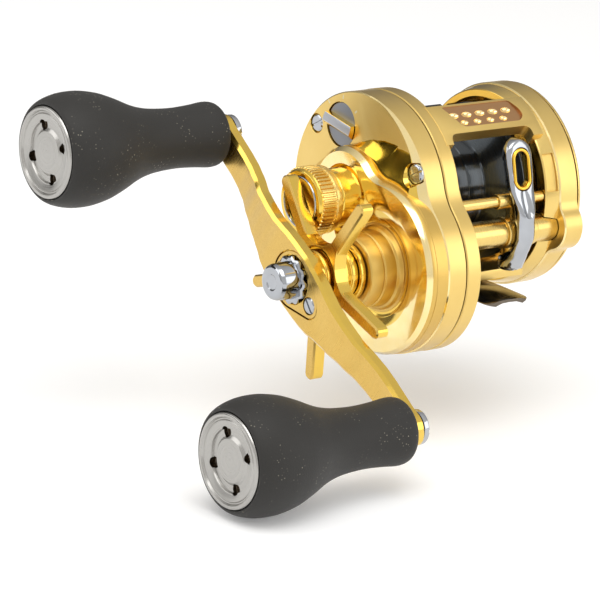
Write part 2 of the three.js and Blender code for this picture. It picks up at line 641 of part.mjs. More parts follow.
// Handle arm: the plan view (half-widths along the arm) cut to a dropping side view.
function makeHandleArm() {
  const plan = new THREE.Shape();
  plan.moveTo(...HALF_WIDTHS[0]);
  HALF_WIDTHS.slice(1).forEach((point) => plan.lineTo(...point));
  plan.absarc(ARM_LENGTH, 0, 4.9, Math.PI / 2, -Math.PI / 2, true);
  [...HALF_WIDTHS].reverse().forEach(([s, w]) => plan.lineTo(s, -w));
  HALF_WIDTHS.slice(1).forEach(([s, w]) => plan.lineTo(-s, -w));
  plan.absarc(-ARM_LENGTH, 0, 4.9, -Math.PI / 2, -1.5 * Math.PI, true);
  [...HALF_WIDTHS].reverse().slice(0, -1).forEach(([s, w]) => plan.lineTo(-s, w));
  plan.closePath();
  const flat = prism(plan, 48, 62, 6);

  const front = ARM_DROP.map(([s, fall]) => [s, ARM_HUB_FRONT - fall]);
  const back = ARM_DROP.map(([s, fall]) => [s, ARM_HUB_FRONT - fall - ARM_THICKNESS]);
  const mirror = (line) => line.slice(1).map(([s, x]) => [-s, x]).reverse();
  const side = new THREE.Shape([
    ...mirror(front), ...front, ...[...back].reverse(), ...mirror(back).reverse(),
  ].map(([s, x]) => new THREE.Vector2(x, s)));
  const geometry = new THREE.ExtrudeGeometry(side, { depth: 30, bevelEnabled: false });
  geometry.translate(0, 0, -15);
  const body = flat.intersect(toSolid(geometry));

  const shaftHole = rod(DRIVE_SHAFT_RADIUS + 0.2, 50, 70, SMALL);
  const pinHole = rod(runningHole(KNOB_PIN_RADIUS, SMALL), 45, 70, SMALL);
  const pinHoles = [-ARM_LENGTH, ARM_LENGTH].map((s) => move(pinHole, s, 0));
  const recess = prism(retainerOutline(0.25), ARM_HUB_FRONT - 1.1, 62);
  const screwHole = move(rod(1.1, 57.4, 62, 12), RETAINER_SCREW, 0);
  return placeOnArm(cut(body, shaftHole, ...pinHoles, recess, screwHole));
}

// Teardrop outline of the nut retainer, round about the shaft and narrowing towards its screw.
function retainerOutline(grow) {
  const big = 7.6 + grow;
  const tip = 3.4 + grow;
  const lean = Math.acos((big - tip) / RETAINER_SCREW);
  const shape = new THREE.Shape();
  shape.absarc(0, 0, big, lean, 2 * Math.PI - lean, false);
  shape.absarc(RETAINER_SCREW, 0, tip, -lean, lean, false);
  return shape;
}

function placeOnArm(solid) {
  return onDrive(solid.rotate([THREE.MathUtils.radToDeg(ARM_ANGLE), 0, 0]));
}

function makeRetainerPlate() {
  const plate = prism(retainerOutline(0), ARM_HUB_FRONT - 0.95, ARM_HUB_FRONT - 0.25);
  const nutHole = rod(6.7, 50, 70, ROUND);
  const sink = move(rod(2.45, 50, 70, SMALL), RETAINER_SCREW, 0);
  return placeOnArm(cut(plate, nutHole, sink));
}

function makeRetainerScrew() {
  const screw = slottedScrew(2.3, 0.8, 0.95, 1.4, 1).translate([ARM_HUB_FRONT - 0.95, 0, 0]);
  return placeOnArm(move(screw, RETAINER_SCREW, 0));
}

function makeHandleNut() {
  const points = [];
  for (let i = 0; i < 24; i += 1) points.push(polar(i % 2 === 0 ? 6.5 : 5.7, 15 * i));
  const flange = prism(outline(points), 59.2, 60.9);
  const barrel = turned([[60.4, 0], [60.4, 5.0], [66.1, 4.8], [66.5, 4.3], [66.5, 0]], ROUND);
  const bore = rod(DRIVE_SHAFT_RADIUS + 0.15, 59, 62.0, SMALL);
  return onDrive(cut(joined(flange, barrel), bore));
}

// Knob grip outline, [distance from the cap face, radius].
const GRIP = [
  [0.6, 13.0], [3.0, 14.3], [9.0, 15.2], [16.0, 14.4], [22.0, 12.2], [28.0, 9.6], [34.0, 8.4],
  [42.0, 8.1], [51.0, 8.8], [54.2, 7.6],
];
function makeGrip() {
  const outer = GRIP.map(([back, radius]) => [CAP_FACE_X - back, radius]);
  const seat = KNOB_BORE + 0.8;
  return turned([
    ...outer, [55.5, seat], [60.2, seat], [60.2, 3.2], [96.0, 3.2], [96.0, seat],
    [105.0, seat], [105.0, 12.4], [CAP_FACE_X - 0.6, 12.4],
  ], ROUND);
}

function makeKnobCap() {
  const disc = turned([
    [105.2, 0], [105.2, 12.15], [CAP_FACE_X - 0.5, 12.15], [CAP_FACE_X, 11.6], [CAP_FACE_X, 7.6],
    [CAP_FACE_X - 0.7, 7.2], [CAP_FACE_X - 0.7, 5.6], [CAP_FACE_X - 0.2, 5.2], [CAP_FACE_X - 0.2, 0],
  ], ROUND);
  const notches = [0, 90, 180, 270].map((turn) => {
    const [y, z] = polar(6.4, turn + 20);
    return move(rod(1.3, CAP_FACE_X - 1.6, CAP_FACE_X + 1, 8), y, z);
  });
  return cut(disc, ...notches);
}

function makeKnobPin() {
  return turned([
    [49.5, 0], [49.5, 4.4], [49.8, 4.65], [51.3, 4.65],
    [51.3, KNOB_PIN_RADIUS], [104.0, KNOB_PIN_RADIUS], [104.0, 0],
  ], SMALL);
}

function makeBearing(outer, inner, x0, x1) {
  return ring(outer, runningHole(inner, SMALL), x0, x1, SMALL);
}

function makeCastKnob() {
  const ribs = [];
  for (let i = 0; i < CAST_RIBS; i += 1) {
    const middle = (i * 360) / CAST_RIBS;
    ribs.push(polar(CAST_RADIUS, middle - 4), polar(CAST_RADIUS, middle + 2));
    ribs.push(polar(CAST_RADIUS - 0.35, middle + 4));
  }
  const band = prism(outline(ribs), 41.9, 46.6);
  const smooth = turned([
    [CAST_START_X, 0], [CAST_START_X, 8.6], [CAST_START_X + 0.4, 9.0], [42.2, 9.0], [42.2, 0],
  ], ROUND);
  const face = turned([[46.3, 0], [46.3, CAST_RADIUS - 0.5], [47.3, 8.4], [47.3, 0]], ROUND);
  const dish = turned([[46.4, 0], [46.4, 6.4], [49, 6.4], [49, 0]], ROUND);
  const bar = box(46.0, CAST_FACE_X, -8.6, 8.6, -1.7, 1.7).rotate([-43, 0, 0]);
  const trimmedBar = bar.intersect(rod(8.3, 45, 50, ROUND));
  const bore = rod(6.8, CAST_START_X - 1, 44.4, ROUND);
  const ringSeat = ring(7.1, 6.1, 46.2, 50, ROUND);
  return cut(joined(cut(joined(band, smooth, face), dish), trimmedBar), bore, ringSeat);
}

function makeDial() {
  const disc = rod(6.0, 27.1, 27.7, ROUND);
  const bar = box(27.5, 29.9, -5.95, 5.95, -1.6, 1.6).intersect(rod(5.95, 27, 30, ROUND));
  const stem = rod(1.5, 25.2, 27.3, SMALL);
  return move(joined(disc, bar.rotate([DIAL_BAR_ANGLE, 0, 0]), stem), DIAL_Y, DIAL_Z);
}

// Frame, covers and foot
addPiece('frame', 'gold', makeFrame());
addPiece('handle_side_plate', 'gold', makeSidePlate());
addPiece('palm_side_plate', 'gold', makePalmCover());
addPiece('foot', 'foot_steel', makeFoot());
addPiece('foot_screw_rear', 'steel', makeFootScrew(FOOT_SCREW_PLACES[0]));
addPiece('foot_screw_front', 'steel', makeFootScrew(FOOT_SCREW_PLACES[1]));
for (const { name, y, z, head } of SCREW_PLACES) {
  const screw = slottedScrew(head, 1.0, COVER_SCREW_SHANK, 9.4, 1).translate([COVER_FACE_X - 1.0, 0, 0]);
  addPiece(name, 'chrome', move(screw, y, z));
}
const lockScrew = slottedScrew(2.7, 1.3, 1.4, 4.4, -1).translate([-29.3, 0, 0]);
addPiece('palm_lock_screw', 'steel', move(lockScrew, LOCK_Y, LOCK_Z));

// Spool and brake
addPiece('spool', 'gunmetal', makeSpool());
addPiece('spool_shaft', 'steel', rod(SPOOL_SHAFT_RADIUS, -26.4, 42.9, SMALL));
addPiece('spool_bearing_palm', 'steel', makeBearing(5.0, SPOOL_SHAFT_RADIUS, -25.6, -23.0));
addPiece('spool_bearing_handle', 'steel', makeBearing(3.9, SPOOL_SHAFT_RADIUS, 35.0, 37.6));
addPiece('pinion_support_bearing', 'steel', makeBearing(4.9, PINION_JOURNAL, 17.0, 19.8));
addPiece('brake_hub', 'plastic', ring(8.6, SPOOL_SHAFT_RADIUS + 0.12, -19.0, -15.6, SMALL));
addPiece('brake_ring', 'steel', ring(12.6, 11.4, -21.6, -15.4, ROUND));
for (let i = 0; i < BRAKE_SHOES; i += 1) {
  const [y, z] = polar(9.85, 45 + (360 * i) / BRAKE_SHOES);
  addPiece(`brake_shoe_${i + 1}`, 'plastic', move(rod(1.1, -18.6, -16.0, 10), y, z));
}

// Gear train and clutch
addPiece('pinion_gear', 'brass', makePinion());
addPiece('drive_shaft', 'steel', makeDriveShaft());
addPiece('drive_shaft_bearing', 'steel', onDrive(makeBearing(5.9, 2.4, 16.4, 19.6)));
addPiece('crank_gear', 'plastic', makeCrankGear());
addPiece('drive_gear', 'brass', makeDriveGear());
addPiece('drag_washer', 'carbon', onDrive(ring(15.0, 3.3, 26.1, 27.0, ROUND)));
addPiece('pressure_plate', 'steel', onDrive(ring(14.6, 3.3, 27.1, 28.4, ROUND)));
addPiece('clutch_sleeve', 'steel', onDrive(ring(4.9, 3.3, 28.6, 42.8, SMALL)));
addPiece('roller_clutch', 'steel', onDrive(ring(8.0, runningHole(4.9, SMALL), 31.2, 39.6, ROUND)));
addPiece('clutch_yoke', 'plastic', makeYoke());
addPiece('thumb_bar', 'plastic', makeThumbBar());

// Level wind
addPiece('worm_shaft', 'steel', makeWormShaft());
addPiece('worm_gear', 'plastic', makeWormGear());
addPiece('worm_tube', 'gold', makeWormTube());
addPiece('guide_rod', 'gold', onRod(rod(ROD_RADIUS, PALM_LOBE_X - 2.3, 18.4, SMALL)));
addPiece('guide_carriage', 'gold', makeCarriage());
addPiece('line_guide', 'chrome', makeLineGuide());
addPiece('guide_insert', 'gold', makeGuideInsert());
addPiece('pawl', 'brass', makePawl());
addPiece('pawl_cap', 'chrome', makePawlCap());

// Drag star and handle
addPiece('star_spring_washer', 'gold', onDrive(ring(7.8, 5.1, 41.4, 42.9, ROUND)));
addPiece('star_drag', 'gold', makeStar());
addPiece('arm_collar', 'gold', onDrive(ring(7.2, DRIVE_SHAFT_RADIUS + 0.15, 51.6, 56.2, ROUND)));
addPiece('handle_arm', 'gold', makeHandleArm());
addPiece('retainer_plate', 'gold', makeRetainerPlate());
addPiece('retainer_screw', 'chrome', makeRetainerScrew());
addPiece('handle_nut', 'chrome', makeHandleNut());

// Both handle knobs
for (const [side, label] of [[1, 'lower'], [-1, 'upper']]) {
  const onKnob = (solid) => placeOnArm(move(solid, side * ARM_LENGTH, 0));
  addPiece(`knob_grip_${label}`, 'foam', onKnob(makeGrip()));
  addPiece(`knob_cap_${label}`, 'cap_steel', onKnob(makeKnobCap()));
  addPiece(`knob_pin_${label}`, 'chrome', onKnob(makeKnobPin()));
  addPiece(`knob_bearing_inner_${label}`, 'steel', onKnob(makeBearing(4.8, KNOB_PIN_RADIUS, 57.0, 60.0)));
  addPiece(`knob_bearing_outer_${label}`, 'steel', onKnob(makeBearing(4.8, KNOB_PIN_RADIUS, 96.3, 99.3)));
}

// Cast control and dial
addPiece('cast_control_knob', 'gold', makeCastKnob());
addPiece('cast_control_ring', 'chrome', ring(7.0, 6.4, 46.3, 47.6, ROUND));
addPiece('cast_control_pad', 'carbon', rod(3.2, 43.8, 44.3, SMALL));
addPiece('dial', 'chrome', makeDial());

export default reel;
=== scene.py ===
"""Looks of the level-wind casting reel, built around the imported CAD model.

Lengths in this script are millimetres measured from the spool axis: x along the axis towards the handle,
y forward and z up. place() turns each finished piece into metres in the CAD frame.
"""
import json
import math

import bmesh
import bpy
from mathutils import Matrix, Vector


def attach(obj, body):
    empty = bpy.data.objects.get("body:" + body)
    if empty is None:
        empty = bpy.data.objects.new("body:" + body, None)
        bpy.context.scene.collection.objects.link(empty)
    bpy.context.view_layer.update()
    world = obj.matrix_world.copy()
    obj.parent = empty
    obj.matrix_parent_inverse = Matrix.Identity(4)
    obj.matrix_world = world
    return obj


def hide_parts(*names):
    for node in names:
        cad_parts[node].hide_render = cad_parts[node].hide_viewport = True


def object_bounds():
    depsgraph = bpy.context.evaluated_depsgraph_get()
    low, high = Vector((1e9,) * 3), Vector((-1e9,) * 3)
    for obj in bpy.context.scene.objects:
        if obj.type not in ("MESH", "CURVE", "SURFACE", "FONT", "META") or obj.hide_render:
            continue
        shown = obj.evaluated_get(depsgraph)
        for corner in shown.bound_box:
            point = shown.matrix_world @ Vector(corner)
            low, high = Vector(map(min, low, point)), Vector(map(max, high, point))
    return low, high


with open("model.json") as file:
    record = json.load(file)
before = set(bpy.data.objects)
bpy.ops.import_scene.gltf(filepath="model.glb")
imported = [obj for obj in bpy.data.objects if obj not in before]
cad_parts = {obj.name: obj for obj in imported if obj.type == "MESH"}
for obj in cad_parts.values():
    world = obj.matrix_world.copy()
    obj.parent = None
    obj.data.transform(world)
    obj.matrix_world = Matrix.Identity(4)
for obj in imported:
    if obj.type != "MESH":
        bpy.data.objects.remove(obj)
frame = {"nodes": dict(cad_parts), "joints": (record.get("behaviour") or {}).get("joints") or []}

MM = 0.001
JOINT_AT = {j["name"]: [v / MM for v in j["pos_m"]] for j in frame["joints"] if "pos_m" in j}
SPOOL_HEIGHT = JOINT_AT["spool_spin"][2]


def from_spool(joint):
    """The (y, z) place of a joint's axis, measured from the spool axis."""
    place = JOINT_AT[joint]
    return (place[1], place[2] - SPOOL_HEIGHT)


SPOOL = (0.0, 0.0)
DRIVE = from_spool("handle_turn")
WORM = from_spool("worm_spin")
DIAL = from_spool("dial_turn")
KNOBS = {"lower": from_spool("knob_lower_spin"), "upper": from_spool("knob_upper_spin")}
ARM_ANGLE = math.atan2(KNOBS["lower"][1] - DRIVE[1], KNOBS["lower"][0] - DRIVE[0])


CAD_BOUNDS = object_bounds()


# ---------------------------------------------------------------- mesh helpers

def mesh_object(name, verts, faces, sharp=32):
    mesh = bpy.data.meshes.new(name)
    mesh.from_pydata(verts, [], faces)
    edit = bmesh.new()
    edit.from_mesh(mesh)
    bmesh.ops.recalc_face_normals(edit, faces=edit.faces)
    edit.to_mesh(mesh)
    edit.free()
    piece = bpy.data.objects.new(name, mesh)
    bpy.context.scene.collection.objects.link(piece)
    shade(piece, sharp)
    return piece


def shade(piece, sharp=32):
    """Smooth shading that keeps every edge sharper than the given angle crisp."""
    mesh = piece.data
    mesh.polygons.foreach_set("use_smooth", [True] * len(mesh.polygons))
    mesh.set_sharp_from_angle(angle=math.radians(sharp))
    return piece


def soften(points, radius=0.15, steps=3, closed=False):
    """Rounds each corner of a line of 2-D points with a short curve."""
    count = len(points)
    result = []
    for i, (px, py) in enumerate(points):
        if not closed and i in (0, count - 1):
            result.append((px, py))
            continue
        corner = Vector((px, py))
        before = Vector(points[i - 1]) - corner
        after = Vector(points[(i + 1) % count]) - corner
        reach = min(radius, 0.45 * before.length, 0.45 * after.length)
        if before.length < 1e-6 or after.length < 1e-6 or before.angle(after) > math.radians(172):
            result.append((px, py))
            continue
        start = corner + before.normalized() * reach
        end = corner + after.normalized() * reach
        for k in range(steps + 1):
            t = k / steps
            point = start * (1 - t) ** 2 + corner * (2 * t * (1 - t)) + end * t ** 2
            result.append((point.x, point.y))
    return result


def revolve(name, profile, axis=SPOOL, segments=96, edge=0.15, sharp=32):
    """A turned body about an axis along X, from (x, radius) points. It closes on itself or on the axis."""
    on_axis = profile[0][1] == 0 and profile[-1][1] == 0
    points = soften(profile, edge, closed=not on_axis)
    verts = []
    rings = []
    for x, radius in points:
        if radius < 1e-6:
            rings.append([len(verts)])
            verts.append((x, axis[0], axis[1]))
            continue
        rings.append(list(range(len(verts), len(verts) + segments)))
        for i in range(segments):
            angle = 2 * math.pi * i / segments
            verts.append((x, axis[0] + radius * math.cos(angle), axis[1] + radius * math.sin(angle)))
    faces = []
    pairs = list(zip(rings, rings[1:])) + ([] if on_axis else [(rings[-1], rings[0])])
    for a, b in pairs:
        for i in range(segments):
            j = (i + 1) % segments
            if len(a) == 1 and len(b) == 1:
                break
            if len(a) == 1:
                faces.append((a[0], b[i], b[j]))
            elif len(b) == 1:
                faces.append((a[i], b[0], a[j]))
            else:
                faces.append((a[i], b[i], b[j], a[j]))
    return mesh_object(name, verts, faces, sharp)


def loft(name, sections, sharp=32):
    """Skins a stack of outlines, each a list of (x, y, z) with the same number of points."""
    size = len(sections[0])
    verts = [point for section in sections for point in section]
    faces = []
    for k in range(len(sections) - 1):
        for i in range(size):
            j = (i + 1) % size
            faces.append((k * size + i, k * size + j, (k + 1) * size + j, (k + 1) * size + i))
    faces.append(tuple(range(size)))
    faces.append(tuple(range((len(sections) - 1) * size, len(sections) * size)))
    return mesh_object(name, verts, faces, sharp)


def arc(centre, radius, start, end, steps):
    """Points along an arc in the Y-Z plane, from one angle in degrees to another, without the last one."""
    points = []
    for i in range(steps):
        angle = math.radians(start + (end - start) * i / steps)
        points.append((centre[0] + radius * math.cos(angle), centre[1] + radius * math.sin(angle)))
    return points


def turn_between(start, end):
    """The signed short way round from one angle to another, in degrees."""
    return (end - start + 180) % 360 - 180


def pair_outline(centre_a, radius_a, centre_b, radius_b, fillet, steps=72):
    """Outline of two overlapping discs whose two inner corners are filled by a hollow fillet."""
    a, b = Vector(centre_a), Vector(centre_b)
    gap = (b - a).length
    along = (b - a).normalized()
    across = Vector((-along.y, along.x))
    run = ((radius_a + fillet) ** 2 - (radius_b + fillet) ** 2 + gap ** 2) / (2 * gap)
    rise = math.sqrt((radius_a + fillet) ** 2 - run ** 2)
    left, right = a + along * run + across * rise, a + along * run - across * rise

    def heading(origin, target):
        return math.degrees(math.atan2(target.y - origin.y, target.x - origin.x))

    start_a, end_a = heading(a, left), heading(a, right)
    start_b, end_b = heading(b, right), heading(b, left)
    sweep_a = (end_a - start_a) % 360
    sweep_b = (end_b - start_b) % 360
    points = arc(a, radius_a, start_a, start_a + sweep_a, steps)
    enter, leave = heading(right, a), heading(right, b)
    points += arc(right, fillet, enter, enter + turn_between(enter, leave), steps // 4)
    points += arc(b, radius_b, start_b, start_b + sweep_b, steps)
    enter, leave = heading(left, b), heading(left, a)
    points += arc(left, fillet, enter, enter + turn_between(enter, leave), steps // 4)
    return points


def at(x, outline):
    return [(x, y, z) for y, z in outline]


def prism(name, outline, x0, x1, edge=0.15, sharp=32):
    """An outline in the Y-Z plane pushed along X, with small chamfers on both rims."""
    inner = inset(outline, edge)
    return loft(name, [at(x0, inner), at(x0 + edge, outline), at(x1 - edge, outline), at(x1, inner)], sharp)


def inset(outline, distance):
    """Moves a closed outline inwards along its corner normals."""
    count = len(outline)
    area = sum(
        outline[i][0] * outline[(i + 1) % count][1] - outline[(i + 1) % count][0] * outline[i][1]
        for i in range(count)
    )
    side = 1 if area > 0 else -1
    result = []
    for i, (y, z) in enumerate(outline):
        before = Vector((y, z)) - Vector(outline[i - 1])
        after = Vector(outline[(i + 1) % count]) - Vector((y, z))
        normal = Vector((-before.y, before.x)).normalized() + Vector((-after.y, after.x)).normalized()
        if normal.length < 1e-6:
            result.append((y, z))
            continue
        stretch = 2 / max(normal.length, 0.8)
        shift = normal.normalized() * distance * side * min(stretch, 1.6)
        result.append((y + shift.x, z + shift.y))
    return result


def block(name, x0, x1, y0, y1, z0, z1):
    verts = [(x, y, z) for x in (x0, x1) for y in (y0, y1) for z in (z0, z1)]
    faces = [(0, 1, 3, 2), (4, 6, 7, 5), (0, 4, 5, 1), (2, 3, 7, 6), (0, 2, 6, 4), (1, 5, 7, 3)]
    return mesh_object(name, verts, faces)


def bake_modifiers(piece):
    """Replaces a piece's mesh by the mesh that its modifiers make."""
    depsgraph = bpy.context.evaluated_depsgraph_get()
    mesh = bpy.data.meshes.new_from_object(piece.evaluated_get(depsgraph))
    piece.modifiers.clear()
    old = piece.data
    piece.data = mesh
    bpy.data.meshes.remove(old)
    return piece


def combine(piece, others, operation):
    for other in others:
        modifier = piece.modifiers.new(operation.lower(), "BOOLEAN")
        modifier.solver = "MANIFOLD"
        modifier.operation = operation
        modifier.material_mode = "TRANSFER"
        modifier.object = other
        bake_modifiers(piece)
        bpy.data.objects.remove(other)
    return piece


def join(piece, *others):
    return combine(piece, others, "UNION")


def cut(piece, *others):
    return combine(piece, others, "DIFFERENCE")


def keep_inside(piece, *others):
    return combine(piece, others, "INTERSECT")


def bevel(piece, width, segments=2, angle=38):
    modifier = piece.modifiers.new("bevel", "BEVEL")
    modifier.width = width
    modifier.segments = segments
    modifier.limit_method = "ANGLE"
    modifier.angle_limit = math.radians(angle)
    modifier.use_clamp_overlap = True
    modifier.miter_outer = "MITER_ARC"
    return shade(bake_modifiers(piece), 40)


def transform(piece, matrix):
    piece.data.transform(matrix)
    return piece


def mirror_x(piece):
    """Flips a piece to the other side of the middle plane."""
    transform(piece, Matrix.Diagonal((-1, 1, 1, 1)))
    piece.data.flip_normals()
    return piece


def spin(piece, degrees, centre=SPOOL):
    """Turns a piece about an axis along X through the given (y, z) point."""
    there = Matrix.Translation((0, centre[0], centre[1]))
    return transform(piece, there @ Matrix.Rotation(math.radians(degrees), 4, "X") @ there.inverted())


# ---------------------------------------------------------------- materials

class Nodes:
    """A small helper that adds nodes to a material and wires them up."""

    def __init__(self, name):
        self.material = bpy.data.materials.new(name)
        self.material.use_nodes = True
        self.tree = self.material.node_tree
        self.shader = self.tree.nodes["Principled BSDF"]

    def add(self, kind, inputs=None, **settings):
        node = self.tree.nodes.new(kind)
        for key, value in settings.items():
            setattr(node, key, value)
        for key, value in (inputs or {}).items():
            self.feed(node, key, value)
        return node

    def feed(self, node, key, value):
        if isinstance(value, bpy.types.NodeSocket):
            self.tree.links.new(value, node.inputs[key])
        else:
            node.inputs[key].default_value = value

    def set(self, **values):
        for key, value in values.items():
            self.feed(self.shader, key.replace("_", " "), value)

    def position(self, scale=(1000, 1000, 1000)):
        coordinates = self.add("ShaderNodeTexCoord")
        mapping = self.add("ShaderNodeMapping", {"Vector": coordinates.outputs["Object"], "Scale": scale})
        return mapping.outputs["Vector"]

    def turned(self, axis, along=1.0, outwards=1.0, around=1.0):
        """Coordinates that follow lathe marks round an axis along X: millimetres along, out and round."""
        coordinates = self.add("ShaderNodeTexCoord")
        offset = (0, -axis[0] * MM, -(axis[1] + SPOOL_HEIGHT) * MM)
        moved = self.add("ShaderNodeVectorMath", {0: coordinates.outputs["Object"], 1: offset})
        parts = self.add("ShaderNodeSeparateXYZ", {0: moved.outputs[0]})
        flat = self.add("ShaderNodeCombineXYZ", {"Y": parts.outputs["Y"], "Z": parts.outputs["Z"]})
        radius = self.add("ShaderNodeVectorMath", {0: flat.outputs[0]}, operation="LENGTH")
        angle = self.add(
            "ShaderNodeMath", {0: parts.outputs["Z"], 1: parts.outputs["Y"]}, operation="ARCTAN2")
        x = self.add("ShaderNodeMath", {0: parts.outputs["X"], 1: along / MM}, operation="MULTIPLY")
        r = self.add("ShaderNodeMath", {0: radius.outputs["Value"], 1: outwards / MM}, operation="MULTIPLY")
        t = self.add("ShaderNodeMath", {0: angle.outputs[0], 1: around}, operation="MULTIPLY")
        whole = self.add(
            "ShaderNodeCombineXYZ", {"X": x.outputs[0], "Y": r.outputs[0], "Z": t.outputs[0]})
        return whole.outputs[0]

    def noise(self, vector, scale, detail=2.0, roughness=0.5):
        node = self.add(
            "ShaderNodeTexNoise",
            {"Vector": vector, "Scale": scale, "Detail": detail, "Roughness": roughness})
        return node.outputs["Fac"]

    def remap(self, value, low, high, start=0.0, end=1.0):
        node = self.add(
            "ShaderNodeMapRange",
            {"Value": value, "From Min": start, "From Max": end, "To Min": low, "To Max": high})
        return node.outputs["Result"]

    def mix(self, factor, first, second):
        node = self.add("ShaderNodeMix", data_type="RGBA")
        self.feed(node, 0, factor)
        self.feed(node, 6, first)
        self.feed(node, 7, second)
        return node.outputs[2]

    def bump(self, height, strength, distance):
        node = self.add(
            "ShaderNodeBump", {"Height": height, "Strength": strength, "Distance": distance * MM})
        return node.outputs["Normal"]


def colour(red, green, blue):
    """A linear colour from 0-255 screen values."""
    channels = []
    for value in (red, green, blue):
        share = value / 255
        channels.append(share / 12.92 if share <= 0.04045 else ((share + 0.055) / 1.055) ** 2.4)
    return (*channels, 1.0)


GOLD_TONE = colour(234, 203, 124)
GOLD_WARM = colour(228, 194, 110)
DEEP_TONES = (colour(220, 184, 100), colour(208, 170, 84))


def anodised(name, axis=SPOOL, rough=(0.3, 0.4), lines=0.04, tones=(GOLD_TONE, GOLD_WARM)):
    """Satin gold anodising: fine blasted grain, faint turning lines and a clear hard skin."""
    m = Nodes(name)
    grain = m.noise(m.position(), 9.0, 3.0, 0.6)
    cloud = m.noise(m.position(), 0.12, 2.0)
    turning = m.noise(m.turned(axis, 9.0, 9.0, 0.6), 1.0, 2.0, 0.7)
    m.set(
        Base_Color=m.mix(cloud, *tones),
        Metallic=1.0,
        Roughness=m.remap(turning, *rough, 0.3, 0.7),
        Coat_Weight=0.35,
        Coat_Roughness=0.22,
        Normal=m.bump(m.mix(0.35, turning, grain), lines, 0.02),
    )
    return m.material


# Where a noise mask starts and stops changing the roughness.
CUT_SPAN = (0.3, 0.7)


def metal(m, mask, tones, rough, bump, span=(0.0, 1.0), metallic=1.0, **extra):
    """Two tones and a roughness range picked by one mask; the bump is (height, strength, depth)."""
    m.set(
        Base_Color=m.mix(mask, *tones),
        Metallic=metallic,
        Roughness=m.remap(mask, *rough, *span),
        Normal=m.bump(*bump),
        **extra,
    )
    return m.material


def darker(tone, share):
    """A tone and the same tone scaled down to a share of it."""
    return colour(*tone), colour(*[share * v for v in tone])


def polished_gold(name="polished_gold", axis=DRIVE, tone=(236, 200, 84), second=(232, 194, 92)):
    """Bright-cut gold: mirror-like, with the faintest tool marks."""
    m = Nodes(name)
    turning = m.noise(m.turned(axis, 14.0, 14.0, 0.4), 1.0, 2.0, 0.6)
    smear = m.noise(m.position(), 0.3, 3.0)
    tones = (colour(*tone), colour(*second))
    return metal(m, smear, tones, (0.09, 0.17), (turning, 0.05, 0.01), CUT_SPAN,
                 Coat_Weight=0.3, Coat_Roughness=0.05)


def blasted_gold(name="blasted_gold"):
    m = Nodes(name)
    beads = m.add("ShaderNodeTexVoronoi", {"Vector": m.position(), "Scale": 4.5})
    grain = m.noise(m.position(), 9.0, 3.0)
    return metal(m, grain, (GOLD_WARM, GOLD_TONE), (0.3, 0.45), (beads.outputs["Distance"], 0.5, 0.12))


def bronze_flat(name="bronze_flat"):
    """The machined flat of the front bar, a browner tone than the rest."""
    m = Nodes(name)
    streaks = m.noise(m.position((300, 9000, 9000)), 1.0, 2.0)
    tones = (colour(176, 132, 92), colour(190, 146, 98))
    return metal(m, streaks, tones, (0.26, 0.36), (streaks, 0.06, 0.01),
                 Coat_Weight=0.2, Coat_Roughness=0.2)


def chrome(name="chrome"):
    m = Nodes(name)
    smear = m.noise(m.position(), 0.25, 4.0)
    ripple = m.noise(m.position(), 0.5, 1.0)
    tones = (colour(186, 189, 194), colour(168, 171, 176))
    return metal(m, smear, tones, (0.04, 0.11), (ripple, 0.03, 0.03), (0.35, 0.7))


def ground_steel(name, axis, tone=(196, 195, 192), rough=(0.24, 0.4)):
    """Turned stainless steel with concentric tool marks."""
    m = Nodes(name)
    turning = m.noise(m.turned(axis, 12.0, 12.0, 0.25), 1.0, 3.0, 0.7)
    return metal(m, turning, darker(tone, 0.88), rough, (turning, 0.12, 0.02), CUT_SPAN)


def gunmetal(name="gunmetal"):
    m = Nodes(name)
    turning = m.noise(m.turned(SPOOL, 10.0, 10.0, 0.2), 1.0, 2.0, 0.6)
    tones = (colour(72, 78, 82), colour(58, 63, 67))
    return metal(m, turning, tones, (0.2, 0.3), (turning, 0.05, 0.01), CUT_SPAN, 0.9,
                 Coat_Weight=0.5, Coat_Roughness=0.08)


def dark_steel(name="dark_steel"):
    """The foot: dark polished steel with soft brown reflections."""
    m = Nodes(name)
    smear = m.noise(m.position((700, 200, 900)), 0.4, 3.0)
    tones = (colour(128, 118, 104), colour(96, 88, 80))
    return metal(m, smear, tones, (0.14, 0.24), (smear, 0.06, 0.03), CUT_SPAN)


def foam(name="foam"):
    """Closed-cell foam: matt charcoal with pores and scattered pale flecks."""
    m = Nodes(name)
    pores = m.add("ShaderNodeTexVoronoi", {"Vector": m.position(), "Scale": 2.6}, feature="F1")
    cells = m.noise(m.position(), 3.2, 6.0, 0.65)
    flecks = m.add("ShaderNodeTexVoronoi", {"Vector": m.position(), "Scale": 1.1, "Randomness": 1.0})
    fleck = m.remap(flecks.outputs["Distance"], 1.0, 0.0, 0.06, 0.2)
    patches = m.remap(m.noise(m.position(), 0.16, 3.0), 0.0, 1.0, 0.5, 0.66)
    amount = m.add("ShaderNodeMath", {0: fleck, 1: patches}, operation="MULTIPLY")
    base = m.mix(cells, colour(28, 27, 25), colour(42, 40, 37))
    height = m.add("ShaderNodeMath", {0: pores.outputs["Distance"], 1: cells}, operation="MULTIPLY")
    m.set(
        Base_Color=m.mix(amount.outputs[0], base, colour(160, 154, 136)),
        Roughness=m.remap(cells, 0.5, 0.72),
        Specular_IOR_Level=0.4,
        Sheen_Weight=0.05,
        Normal=m.bump(height.outputs[0], 0.35, 0.12),
    )
    return m.material


def black_plastic(name="black_plastic"):
    m = Nodes(name)
    grain = m.noise(m.position(), 6.0, 4.0, 0.6)
    m.set(
        Base_Color=m.mix(grain, colour(30, 30, 31), colour(40, 40, 42)),
        Roughness=m.remap(grain, 0.35, 0.5),
        Normal=m.bump(grain, 0.1, 0.04),
    )
    return m.material


